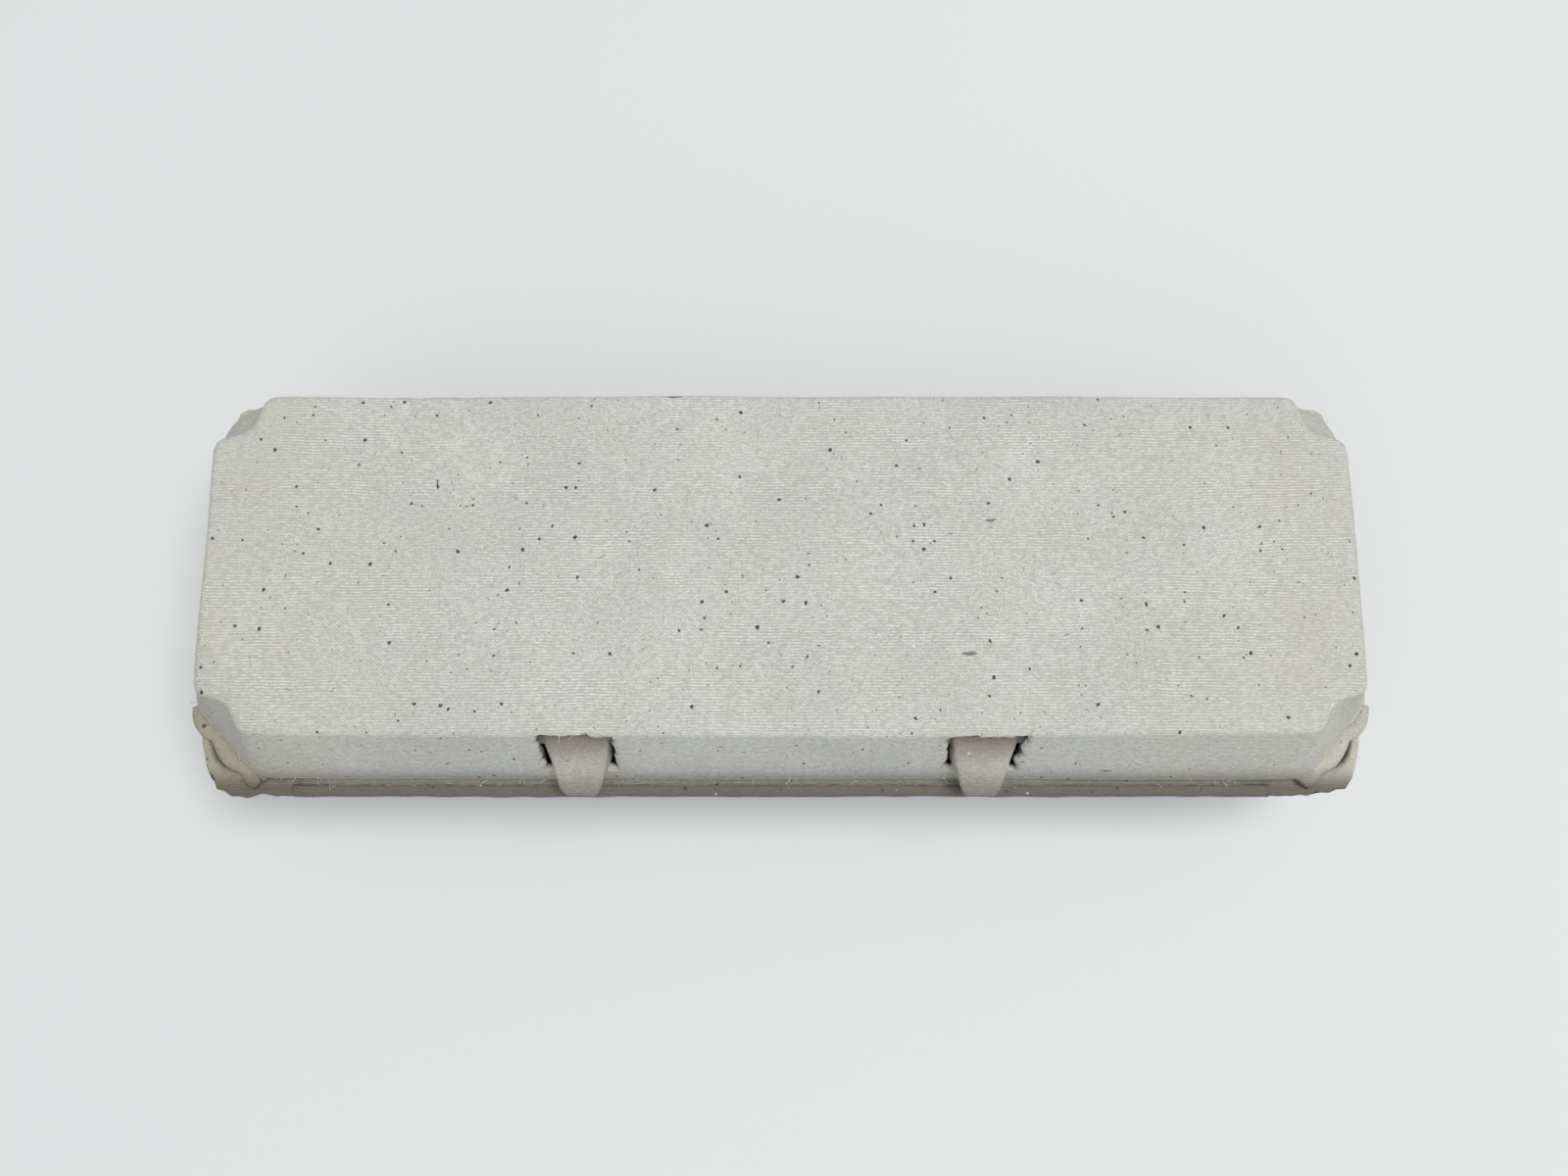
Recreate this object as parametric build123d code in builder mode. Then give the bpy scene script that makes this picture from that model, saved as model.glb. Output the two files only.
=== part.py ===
"""Moulded pulp egg carton for twelve eggs: cell tray, hinged lid and locking flap.

The carton is one pulp moulding that works as three panels.  The tray holds two rows of six cups, with a
post at every inner crossing.  The lid hinges on a fold along the tray's rear flange.  The locking flap
hinges on a fold along the front flange, stands up inside the lid's front wall, and carries two latch
bosses that stand out through the lid's windows.

Millimetres.  +Z is up, +Y runs from the latch side to the hinge side, and the origin is at the middle of
the bounding box, on the surface that the cups stand on.
"""

from build123d import *
import math
import os

# ---- the moulding ----
PULP = 1.8  # wall thickness
HALF_LENGTH = 149.0  # flange ends
HALF_DEPTH = 52.1  # outer faces of the two folds

# ---- cells ----
CELL_PITCH = 48.8  # along X
ROW_PITCH = 46.4  # along Y
COLUMNS = 6
FOOT_HALF = 15.0  # half width of a cup's flat foot
FOOT_RADIUS = 8.0
LAND_Z = 26.0  # top of the ridges between cups
CUP_RADIUS = 12.0  # corner radius of a cup just below its land
MOUTH_HALF = (22.6, 21.4)  # half width of a cup's mouth along X and Y
MOUTH_RADIUS = 14.0
INNER_FOOT_HALF = 13.5
INNER_FOOT_RADIUS = 7.0

# ---- posts ----
POST_TOP_Z = 60.0
POST_BASE_RADIUS = 8.0
POST_TOP_RADIUS = 4.8
POST_EDGE_RADIUS = 2.0

# ---- tray wall and flange ----
RIM_Z = 40.0  # top of the flange, and the height of both hinge lines
WALL_FOOT_HALF = (3 * CELL_PITCH, ROW_PITCH)  # outer half sizes of the wall at the land
WALL_FOOT_RADIUS = MOUTH_RADIUS + PULP
WALL_TOP_HALF = (147.0, 48.2)  # outer half sizes of the wall at the flange
WALL_TOP_RADIUS = 17.0
FLANGE_RADIUS_FRONT = 16.0
FLANGE_RADIUS_REAR = 18.0
HINGE_Y = HALF_DEPTH - PULP  # distance of both hinge lines from the centre
FOLD_HALF_LENGTH = 122.0  # both folds run this far each way
CORNER_X = 122.0  # the wall is divided into sides and corners at these places
CORNER_Y = 28.0
RIDGE_HEIGHT = 2.6  # ridge on each front corner of the flange, along the lid's cut corner
RIDGE_WIDTH = 2.2
RIDGE_ENDS = ((146.7, -33.6), (135.3, -47.3))  # middle line of the right-hand ridge

# ---- lid ----
LID_TOP_Z = 66.0
LID_BOTTOM_Z = 40.4
LID_FRONT_BOTTOM_Z = 42.1  # the front wall ends above the flap's base
LID_TOP_HALF_LENGTH = 138.0
LID_TOP_FRONT_Y = -38.1
LID_TOP_REAR_Y = 43.9
END_LEAN = 0.393  # how far each wall leans out for each mm down
FRONT_LEAN = 0.435
REAR_LEAN = 0.245
END_WALL, FRONT_WALL, REAR_WALL = (  # thickness along X or Y of the leaning walls
    PULP * math.hypot(1, lean) for lean in (END_LEAN, FRONT_LEAN, REAR_LEAN)
)
# A corner of the lid: how much it takes off along X and Y, and how far it bows in from a straight cut.
TOP_CORNER_FRONT = (11.0, 11.0, 3.2)
TOP_CORNER_REAR = (12.0, 12.0, 3.6)
BOTTOM_CORNER_FRONT = (16.4, 19.5, 0.0)
BOTTOM_CORNER_REAR = (17.0, 17.0, -4.5)
LID_CORNER_X = 125.0  # the lid's walls are divided into sides and corners at these places
LID_CORNER_FRONT_Y = -26.5
LID_CORNER_REAR_Y = 31.0

# ---- latch ----
LATCH_X = CELL_PITCH  # both latches stand between cells
WINDOW_WIDTH_TOP = 18.0
WINDOW_WIDTH_BOTTOM = 17.0
WINDOW_BOTTOM_Z = 47.6
FLAP_GAP = 1.2  # clearance between the flap and the lid's front wall, along Y
FLAP_TOP_Z = 61.5
FLAP_HALF_LENGTH = 121.0
FLAP_END_SLOPE = 5.0  # how far each end of the flap draws in towards its top
FLAP_SLOT_WIDTH = 19.0  # slot below each boss
BOSS_TOP_Z = 60.0
BOSS_BOTTOM_Z = 48.1
BOSS_TIP = (-HALF_DEPTH, 48.6)  # Y and Z of the boss's outer edge
BOSS_HALF_WIDTH_TOP = 6.5
BOSS_HALF_WIDTH_TIP = 4.4
BOSS_HALF_WIDTH_BASE = 8.0
BOSS_SKIN = 1.6

os.makedirs("parts", exist_ok=True)


def save(part: Part, name: str) -> None:
    """Labels a finished piece and writes its STEP file."""
    part.label = name
    export_step(part, f"parts/{name}.step")


def lid_half_length(z: float) -> float:
    """Outer half length of the lid at height z."""
    return LID_TOP_HALF_LENGTH + END_LEAN * (LID_TOP_Z - z)


def lid_front_y(z: float) -> float:
    """Y of the lid's outer front face at height z."""
    return LID_TOP_FRONT_Y - FRONT_LEAN * (LID_TOP_Z - z)


def lid_rear_y(z: float) -> float:
    """Y of the lid's outer rear face at height z."""
    return LID_TOP_REAR_Y + REAR_LEAN * (LID_TOP_Z - z)


def flap_front_y(z: float) -> float:
    """Y of the flap's outer face at height z."""
    return lid_front_y(z) + FRONT_WALL + FLAP_GAP


# ---------------------------------------------------------------- tray


def tray_outline(z: float, half: tuple[float, float], front: float, rear: float) -> Sketch:
    """Rectangle at height z with its own corner radii at the front and at the rear."""
    with BuildSketch(Plane.XY.offset(z)) as outline:
        Rectangle(2 * half[0], 2 * half[1])
        fillet(outline.vertices().group_by(Axis.Y)[0], front)
        fillet(outline.vertices().group_by(Axis.Y)[-1], rear)
    return outline.sketch


def inset(half: tuple[float, float], amount: float) -> tuple[float, float]:
    """Half sizes drawn in on every side."""
    return half[0] - amount, half[1] - amount


def egg_cup(x: float, y: float) -> Part:
    """One cup: flat foot, sloping walls and a rectangular land that meets the neighbouring cups."""
    under_land = LAND_Z - PULP
    with BuildPart() as cup:
        with BuildSketch(Plane((x, y, 0))):
            RectangleRounded(2 * FOOT_HALF, 2 * FOOT_HALF, FOOT_RADIUS)
        with BuildSketch(Plane((x, y, under_land))):
            RectangleRounded(CELL_PITCH, ROW_PITCH, CUP_RADIUS)
        loft()
        with BuildSketch(Plane((x, y, under_land))):
            Rectangle(CELL_PITCH, ROW_PITCH)
        extrude(amount=PULP)
        with BuildSketch(Plane((x, y, PULP))):
            RectangleRounded(2 * INNER_FOOT_HALF, 2 * INNER_FOOT_HALF, INNER_FOOT_RADIUS)
        with BuildSketch(Plane((x, y, LAND_Z))):
            RectangleRounded(2 * MOUTH_HALF[0], 2 * MOUTH_HALF[1], MOUTH_RADIUS)
        loft(mode=Mode.SUBTRACT)
        add(tray_outline(0, WALL_FOOT_HALF, WALL_FOOT_RADIUS, WALL_FOOT_RADIUS))
        extrude(amount=LAND_Z, mode=Mode.INTERSECT)
    return cup.part


def post(x: float) -> Part:
    """One hollow post, standing on the lands where four cups meet."""
    height = POST_TOP_Z - LAND_Z
    with BuildPart() as column:
        with BuildSketch(Plane((x, 0, LAND_Z))):
            Circle(POST_BASE_RADIUS)
        with BuildSketch(Plane((x, 0, POST_TOP_Z))):
            Circle(POST_TOP_RADIUS)
        loft()
        fillet(column.edges().sort_by(Axis.Z)[-1], POST_EDGE_RADIUS)
        with BuildSketch(Plane((x, 0, LAND_Z))):
            Circle(POST_BASE_RADIUS - PULP)
        with BuildSketch(Plane((x, 0, LAND_Z + height - PULP))):
            Circle(POST_TOP_RADIUS - PULP)
        loft(mode=Mode.SUBTRACT)
    return column.part


def tray_rim() -> Part:
    """The whole sloping wall above the lands with its flange, before it is divided.

    The flange stops at both hinge lines, so that each fold has room, and at the rear it does so all the way
    to its corners, because the open lid hangs just behind it.
    """
    with BuildPart() as rim:
        add(tray_outline(LAND_Z, WALL_FOOT_HALF, WALL_FOOT_RADIUS, WALL_FOOT_RADIUS))
        add(tray_outline(RIM_Z, WALL_TOP_HALF, WALL_TOP_RADIUS, WALL_TOP_RADIUS))
        loft()
        add(tray_outline(RIM_Z - PULP, (HALF_LENGTH, HALF_DEPTH), FLANGE_RADIUS_FRONT, FLANGE_RADIUS_REAR))
        extrude(amount=PULP)
        inner_foot, inner_top = inset(WALL_FOOT_HALF, PULP), inset(WALL_TOP_HALF, PULP)
        add(tray_outline(LAND_Z, inner_foot, MOUTH_RADIUS, MOUTH_RADIUS))
        add(tray_outline(RIM_Z, inner_top, WALL_TOP_RADIUS - PULP, WALL_TOP_RADIUS - PULP))
        loft(mode=Mode.SUBTRACT)
        for half_length, y in ((HALF_LENGTH, HALF_DEPTH), (FOLD_HALF_LENGTH, -HALF_DEPTH)):
            with Locations((0, y, RIM_Z)):
                Box(2 * half_length, 2 * PULP, 4 * PULP, mode=Mode.SUBTRACT)
    return rim.part


def keep_box(part: Part, low: tuple[float, float, float], high: tuple[float, float, float]) -> Part:
    """What of a part lies inside the box between two corners."""
    size = [b - a for a, b in zip(low, high)]
    middle = [(a + b) / 2 for a, b in zip(low, high)]
    with BuildPart() as kept:
        add(part)
        with Locations(tuple(middle)):
            Box(*size, mode=Mode.INTERSECT)
    return kept.part


def corner_ridge(side: int) -> Part:
    """Raised ridge on a front corner of the flange; side is -1 on the left and 1 on the right."""
    (x0, y0), (x1, y1) = RIDGE_ENDS
    middle = (side * (x0 + x1) / 2, (y0 + y1) / 2, RIM_Z)
    angle = side * math.degrees(math.atan2(y0 - y1, x0 - x1))
    with BuildPart() as ridge:
        with BuildSketch(Plane(middle)):
            SlotCenterToCenter(math.hypot(x0 - x1, y0 - y1), RIDGE_WIDTH, rotation=angle)
        extrude(amount=RIDGE_HEIGHT)
    return ridge.part


def build_tray() -> None:
    """Writes the cups, the posts, and the wall with its flange as sides and corners."""
    for row, y in (("front", -ROW_PITCH / 2), ("rear", ROW_PITCH / 2)):
        for column in range(COLUMNS):
            x = (column - (COLUMNS - 1) / 2) * CELL_PITCH
            save(egg_cup(x, y), f"egg_cup_{row}_{column + 1}")
    for number in range(COLUMNS - 1):
        save(post((number - (COLUMNS - 2) / 2) * CELL_PITCH), f"post_{number + 1}")

    rim = tray_rim()
    far = HALF_LENGTH + PULP
    for side, name in ((-1, "front"), (1, "rear")):
        ends = sorted((side * CORNER_Y, side * far))
        wall = keep_box(rim, (-CORNER_X, ends[0], 0), (CORNER_X, ends[1], LID_TOP_Z))
        save(wall, f"tray_{name}_wall")
    for side, name in ((-1, "left"), (1, "right")):
        ends = sorted((side * CORNER_X, side * far))
        save(keep_box(rim, (ends[0], -CORNER_Y, 0), (ends[1], CORNER_Y, LID_TOP_Z)), f"tray_{name}_wall")
        rear = keep_box(rim, (ends[0], CORNER_Y, 0), (ends[1], far, LID_TOP_Z))
        save(rear, f"tray_corner_rear_{name}")
        front = keep_box(rim, (ends[0], -far, 0), (ends[1], -CORNER_Y, LID_TOP_Z))
        with BuildPart() as corner:
            add(front)
            add(corner_ridge(side))
        save(corner.part, f"tray_corner_front_{name}")


# ---------------------------------------------------------------- lid


def lid_outline(z: float, wall: float, front: tuple, rear: tuple, skin: tuple) -> Sketch:
    """The lid's outline at height z, drawn in by skin (along X, at the front, at the rear).

    Each corner is given as at the top of this file; wall changes how much it takes off.
    """
    half, front_y, rear_y = lid_half_length(z) - skin[0], lid_front_y(z) + skin[1], lid_rear_y(z) - skin[2]
    corners = []  # start, middle and end of each corner, clockwise from the rear right
    for side, along, (cut_x, cut_y, bow), y in ((1, -1, rear, rear_y), (1, 1, front, front_y)):
        on_long, on_end = Vector(half - cut_x - wall, y), Vector(half, y + along * (cut_y + wall))
        inward = Vector(-abs(on_end.Y - y), along * (half - on_long.X)).normalized()
        corners.append((on_long, (on_long + on_end) / 2 + inward * bow, on_end))
    corners[1] = corners[1][::-1]
    corners += [tuple(Vector(-p.X, p.Y) for p in reversed(corner)) for corner in reversed(corners)]
    with BuildSketch(Plane.XY.offset(z)) as outline:
        with BuildLine():
            for corner, following in zip(corners, corners[1:] + corners[:1]):
                start, middle, end = corner
                if (middle - (start + end) / 2).length > 0.01:
                    ThreePointArc(start, middle, end)
                else:
                    Line(start, end)
                Line(end, following[0])
        make_face()
    return outline.sketch


def lid_shell() -> Part:
    """The whole lid before it is divided: top panel and leaning walls, with bitten corners."""
    outside, inside = (0, 0, 0), (END_WALL, FRONT_WALL, REAR_WALL)
    with BuildPart() as shell:
        add(lid_outline(LID_TOP_Z, 0, TOP_CORNER_FRONT, TOP_CORNER_REAR, outside))
        add(lid_outline(LID_BOTTOM_Z, 0, BOTTOM_CORNER_FRONT, BOTTOM_CORNER_REAR, outside))
        loft(ruled=True)
        add(lid_outline(LID_TOP_Z - PULP, PULP / 2, TOP_CORNER_FRONT, TOP_CORNER_REAR, inside))
        add(lid_outline(LID_BOTTOM_Z, -PULP / 2, BOTTOM_CORNER_FRONT, BOTTOM_CORNER_REAR, inside))
        loft(ruled=True, mode=Mode.SUBTRACT)
    return shell.part


def lid_front_wall(wall: Part) -> Part:
    """The front wall, cut off above the flap's base and with a window for each latch boss."""
    top, half_top, half_bottom = LID_TOP_Z - PULP, WINDOW_WIDTH_TOP / 2, WINDOW_WIDTH_BOTTOM / 2
    with BuildPart() as front:
        add(wall)
        with Locations((0, -HALF_DEPTH, LID_FRONT_BOTTOM_Z - LID_TOP_Z / 2)):
            Box(2 * HALF_LENGTH, HALF_DEPTH, LID_TOP_Z, mode=Mode.SUBTRACT)
        for x in (-LATCH_X, LATCH_X):
            with BuildSketch(Plane.XZ.offset(HALF_DEPTH)):
                with BuildLine():
                    Polyline(
                        (x - half_top, top),
                        (x + half_top, top),
                        (x + half_bottom, WINDOW_BOTTOM_Z),
                        (x - half_bottom, WINDOW_BOTTOM_Z),
                        close=True,
                    )
                make_face()
            extrude(amount=-HALF_DEPTH / 2, mode=Mode.SUBTRACT)
    return front.part


def lid_rear_wall(wall: Part) -> Part:
    """The rear wall with the flange strip that reaches the hinge line."""
    strip_start = lid_rear_y(LID_BOTTOM_Z) - REAR_WALL
    with BuildPart() as rear:
        add(wall)
        with Locations((0, (strip_start + HINGE_Y) / 2, RIM_Z + PULP / 2)):
            Box(2 * FOLD_HALF_LENGTH, HINGE_Y - strip_start, PULP)
    return rear.part


def build_lid() -> None:
    """Writes the lid's top panel, four walls and four corners."""
    shell = lid_shell()
    far, under_top = HALF_LENGTH + PULP, LID_TOP_Z - PULP
    save(keep_box(shell, (-far, -far, under_top), (far, far, LID_TOP_Z)), "lid_top_panel")
    front = keep_box(shell, (-LID_CORNER_X, -far, 0), (LID_CORNER_X, LID_CORNER_FRONT_Y, under_top))
    save(lid_front_wall(front), "lid_front_wall")
    rear = keep_box(shell, (-LID_CORNER_X, LID_CORNER_REAR_Y, 0), (LID_CORNER_X, far, under_top))
    save(lid_rear_wall(rear), "lid_rear_wall")
    for side, name in ((-1, "left"), (1, "right")):
        ends = sorted((side * LID_CORNER_X, side * far))
        wall = keep_box(shell, (ends[0], LID_CORNER_FRONT_Y, 0), (ends[1], LID_CORNER_REAR_Y, under_top))
        save(wall, f"lid_{name}_wall")
        corner = keep_box(shell, (ends[0], -far, 0), (ends[1], LID_CORNER_FRONT_Y, under_top))
        save(corner, f"lid_corner_front_{name}")
        corner = keep_box(shell, (ends[0], LID_CORNER_REAR_Y, 0), (ends[1], far, under_top))
        save(corner, f"lid_corner_rear_{name}")


# ---------------------------------------------------------------- locking flap


def lock_flap() -> Part:
    """A base that lies on the flange and a panel that leans with the lid's front wall.

    The panel is open behind each latch boss, and in a wider slot below it.
    """
    base_top = RIM_Z + PULP
    with BuildPart() as flap:
        with BuildSketch(Plane.YZ.offset(-FLAP_HALF_LENGTH)):
            with BuildLine():
                Polyline(
                    (-HINGE_Y, RIM_Z),
                    (flap_front_y(RIM_Z) + FRONT_WALL, RIM_Z),
                    (flap_front_y(FLAP_TOP_Z) + FRONT_WALL, FLAP_TOP_Z),
                    (flap_front_y(FLAP_TOP_Z), FLAP_TOP_Z),
                    (flap_front_y(base_top), base_top),
                    (-HINGE_Y, base_top),
                    close=True,
                )
            make_face()
        extrude(amount=2 * FLAP_HALF_LENGTH)
        half_top = FLAP_HALF_LENGTH - FLAP_END_SLOPE
        with BuildSketch(Plane.XZ.offset(HALF_DEPTH)):
            with BuildLine():
                Polyline(
                    (-FLAP_HALF_LENGTH, RIM_Z),
                    (FLAP_HALF_LENGTH, RIM_Z),
                    (FLAP_HALF_LENGTH, base_top + PULP),
                    (half_top, FLAP_TOP_Z),
                    (-half_top, FLAP_TOP_Z),
                    (-FLAP_HALF_LENGTH, base_top + PULP),
                    close=True,
                )
            make_face()
        extrude(amount=-HALF_DEPTH, mode=Mode.INTERSECT)
        for x in (-LATCH_X, LATCH_X):
            with BuildSketch(Plane.XZ.offset(HALF_DEPTH)):
                with Locations((x, (base_top + BOSS_BOTTOM_Z) / 2)):
                    Rectangle(FLAP_SLOT_WIDTH, BOSS_BOTTOM_Z - base_top)
                with BuildLine():
                    Polyline(
                        (x - BOSS_HALF_WIDTH_BASE, BOSS_BOTTOM_Z),
                        (x + BOSS_HALF_WIDTH_BASE, BOSS_BOTTOM_Z),
                        (x + BOSS_HALF_WIDTH_TOP, BOSS_TOP_Z - PULP),
                        (x - BOSS_HALF_WIDTH_TOP, BOSS_TOP_Z - PULP),
                        close=True,
                    )
                make_face()
            extrude(amount=-HALF_DEPTH, mode=Mode.SUBTRACT)
    return flap.part


def boss_block(x: float, skin: float) -> Part:
    """A boss as a solid wedge; skin draws its ramp, sides and top edge in, for the hollow inside."""
    top_z, half_top = BOSS_TOP_Z - skin, BOSS_HALF_WIDTH_TOP - skin
    tip_y, tip_z = BOSS_TIP[0] + 1.6 * skin, BOSS_TIP[1]
    base_y = flap_front_y(BOSS_BOTTOM_Z)
    with BuildPart() as block:
        with BuildSketch(Plane.YZ.offset(x - BOSS_HALF_WIDTH_BASE)):
            with BuildLine():
                Polyline(
                    (flap_front_y(top_z), top_z),
                    (tip_y, tip_z),
                    (tip_y, BOSS_BOTTOM_Z),
                    (base_y, BOSS_BOTTOM_Z),
                    close=True,
                )
            make_face()
        extrude(amount=2 * BOSS_HALF_WIDTH_BASE)
        for side in (-1, 1):
            top = Vector(x + side * half_top, flap_front_y(top_z), top_z)
            tip = Vector(x + side * (BOSS_HALF_WIDTH_TIP - skin), tip_y, tip_z)
            base = Vector(x + side * (BOSS_HALF_WIDTH_BASE - skin), base_y, BOSS_BOTTOM_Z)
            outward = (tip - top).cross(base - top)
            if outward.X * side < 0:
                outward = outward * -1
            split(bisect_by=Plane(top, z_dir=outward), keep=Keep.BOTTOM)
    return block.part


def latch_boss(x: float) -> Part:
    """A hollow boss, open at its back and below."""
    outside, hollow = boss_block(x, 0), boss_block(x, BOSS_SKIN)
    with BuildPart() as boss:
        add(outside)
        add(hollow, mode=Mode.SUBTRACT)
    return boss.part


def fold(y: float) -> Part:
    """The half-round fold along a hinge line, on the side away from the middle."""
    away = 1 if y > 0 else -1
    with BuildPart() as strip:
        with BuildSketch(Plane.YZ.offset(-FOLD_HALF_LENGTH)):
            with BuildLine():
                arc = CenterArc((y, RIM_Z), PULP, -90 if away > 0 else 90, 180)
                Line(arc @ 1, arc @ 0)
            make_face()
        extrude(amount=2 * FOLD_HALF_LENGTH)
    return strip.part


def build_flap() -> None:
    """Writes the locking flap, its two bosses and the two folds."""
    save(lock_flap(), "lock_flap")
    save(latch_boss(-LATCH_X), "latch_boss_left")
    save(latch_boss(LATCH_X), "latch_boss_right")
    save(fold(HINGE_Y), "lid_hinge_fold")
    save(fold(-HINGE_Y), "flap_hinge_fold")


build_tray()
build_lid()
build_flap()
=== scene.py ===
"""Moulded pulp egg carton: the cell tray, the hinged lid and the locking flap, dressed over its frame.

Lengths inside the classes are millimetres in the carton's own frame: +X runs along the carton, +Y from the
latch side to the hinge side, +Z up from the surface that the cups stand on.
"""

import logging
import math
from dataclasses import dataclass
from dataclasses import field
from enum import Enum

import bpy
import numpy as np
from mathutils import Euler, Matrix
from mathutils import Vector
from mathutils import kdtree
from mathutils import noise


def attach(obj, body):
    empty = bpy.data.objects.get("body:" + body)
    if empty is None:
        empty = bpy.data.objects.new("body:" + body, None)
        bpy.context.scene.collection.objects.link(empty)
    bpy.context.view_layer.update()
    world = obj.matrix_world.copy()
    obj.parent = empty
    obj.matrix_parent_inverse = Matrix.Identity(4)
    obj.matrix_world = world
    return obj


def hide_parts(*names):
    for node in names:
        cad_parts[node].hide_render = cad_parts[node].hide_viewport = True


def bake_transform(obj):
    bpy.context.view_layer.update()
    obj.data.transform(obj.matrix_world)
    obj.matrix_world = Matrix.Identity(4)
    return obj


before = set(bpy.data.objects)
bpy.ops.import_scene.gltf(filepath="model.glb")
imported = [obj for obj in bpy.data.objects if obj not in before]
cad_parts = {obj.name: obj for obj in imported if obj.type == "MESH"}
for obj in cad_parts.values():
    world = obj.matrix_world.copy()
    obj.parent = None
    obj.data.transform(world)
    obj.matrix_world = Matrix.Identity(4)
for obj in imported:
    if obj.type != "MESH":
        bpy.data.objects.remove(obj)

logging.basicConfig(level=logging.INFO, format="%(name)s: %(message)s")
LOG = logging.getLogger("egg_carton")

MM = 0.001
PULP = 1.8
CELL_PITCH = 48.8
HINGE_Y = 50.3
LID_TOP_Z = 66.0
LID_FRONT_Y = -38.1
LID_FRONT_LEAN = 0.435
RAW_EDGE_Z = 40.4
FOOT_GAP = 0.03
SIDES = {-1: "left", 1: "right"}

Colour = tuple[float, float, float, float]


# ------------------------------------------------------------------ sheets of pulp


class Body(Enum):
    """The three panels that move as one piece each."""

    TRAY = "tray"
    LID = "lid"
    FLAP = "flap"


@dataclass
class Grid:
    """Points of one face of a moulded sheet, with the quads that join them.

    Attributes:
        points: Positions, one row each.
        quads: Corner indices, counter-clockwise as seen from the show side.
        rag: How far the raw edge wanders at each point.
        level: Where 1, the wall's back lies straight behind it at the same height.
    """

    points: np.ndarray
    quads: np.ndarray
    rag: np.ndarray
    level: np.ndarray

    @classmethod
    def from_rows(cls, rows: list[np.ndarray], closed: bool, rag: float = 0.3) -> "Grid":
        """Joins rows of points into a grid.

        Args:
            rows: Rows of equal length.
            closed: Whether the last column joins the first.
            rag: How far raw edges wander.

        Returns:
            The grid, with its quads facing the side that rows x columns point to.
        """
        count, width = len(rows), len(rows[0])
        index = np.arange(count * width).reshape(count, width)
        if closed:
            index = np.hstack([index, index[:, :1]])
        quads = np.stack([index[:-1, :-1], index[1:, :-1], index[1:, 1:], index[:-1, 1:]], axis=-1)
        points = np.vstack(rows).astype(float)
        return cls(points, quads.reshape(-1, 4), np.full(len(points), rag), np.zeros(len(points)))

    def join(self, other: "Grid") -> "Grid":
        """This grid and another as one."""
        return Grid(
            np.vstack([self.points, other.points]),
            np.vstack([self.quads, other.quads + len(self.points)]),
            np.concatenate([self.rag, other.rag]),
            np.concatenate([self.level, other.level]),
        )

    def without(self, gone: np.ndarray) -> "Grid":
        """This grid less the quads that a mask marks."""
        return Grid(self.points, self.quads[~gone], self.rag, self.level)

    def middles(self) -> np.ndarray:
        """The middle of each quad."""
        return self.points[self.quads].mean(axis=1)

    def weld(self, reach: float = 0.02) -> "Grid":
        """Makes points that lie together one.

        Args:
            reach: Size of the cells whose points become one.

        Returns:
            The welded grid, without unused points.
        """
        keys = np.round(self.points / reach).astype(np.int64)
        _, first, back = np.unique(keys, axis=0, return_index=True, return_inverse=True)
        quads = back.reshape(-1)[self.quads]
        used = np.unique(quads)
        place = np.full(len(first), -1)
        place[used] = np.arange(len(used))
        keep = first[used]
        return Grid(self.points[keep], place[quads], self.rag[keep], self.level[keep])

    def normals(self) -> np.ndarray:
        """Averages the quads' facings.

        Returns:
            A unit normal for each point.
        """
        corner = self.points[self.quads]
        facing = np.cross(corner[:, 2] - corner[:, 0], corner[:, 3] - corner[:, 1])
        total = np.zeros_like(self.points)
        for side in range(4):
            np.add.at(total, self.quads[:, side], facing)
        return total / np.maximum(np.linalg.norm(total, axis=1, keepdims=True), 1e-9)

    def edge(self) -> np.ndarray:
        """Finds the raw edges.

        Returns:
            Directed edges, each as the two points that it runs between.
        """
        pairs = np.vstack([self.quads[:, [side, (side + 1) % 4]] for side in range(4)])
        pairs = pairs[pairs[:, 0] != pairs[:, 1]]
        size = len(self.points)
        ahead, back = pairs[:, 0] * size + pairs[:, 1], pairs[:, 1] * size + pairs[:, 0]
        return pairs[~np.isin(ahead, back)]


def wave(points: np.ndarray, length: float, seed: int) -> np.ndarray:
    """A smooth random value between about -1 and 1 at each point.

    Args:
        points: Positions in millimetres.
        length: Typical distance from crest to crest.
        seed: Fixes the pattern.

    Returns:
        One value for each point.
    """
    draw = np.random.default_rng(seed)
    total = np.zeros(len(points))
    for _ in range(9):
        heading = draw.normal(size=3)
        heading *= 2 * math.pi / (np.linalg.norm(heading) * length * draw.uniform(0.6, 1.7))
        total += np.sin(points @ heading + draw.uniform(0, 2 * math.pi))
    return total / 3.2


def smooth_low(a: np.ndarray, b: np.ndarray | float, reach: float) -> np.ndarray:
    """The lower of two heights, with the corner between them rounded over reach."""
    share = np.clip(0.5 + 0.5 * (b - a) / reach, 0, 1)
    return b + (a - b) * share - reach * share * (1 - share)


def smooth_high(a: np.ndarray, b: np.ndarray | float, reach: float) -> np.ndarray:
    """The higher of two heights, with the corner between them rounded over reach."""
    return -smooth_low(-a, -b, reach)


def ease(value: np.ndarray | float) -> np.ndarray | float:
    """0 below 0, 1 above 1 and a smooth turn between."""
    value = np.clip(value, 0, 1)
    return value * value * (3 - 2 * value)


def level_row(spots: np.ndarray, height: np.ndarray | float) -> np.ndarray:
    """Points at the given X and Y, with one height or one for each."""
    return np.column_stack([spots, np.full(len(spots), height)])


def outward_of(loop: np.ndarray) -> np.ndarray:
    """Finds which way is out of a loop.

    Args:
        loop: Its points, counter-clockwise.

    Returns:
        A level unit vector for each point.
    """
    run = np.roll(loop, -1, axis=0) - np.roll(loop, 1, axis=0)
    normal = np.stack([run[:, 1], -run[:, 0]], axis=1)
    return normal / np.maximum(np.linalg.norm(normal, axis=1, keepdims=True), 1e-9)


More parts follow.
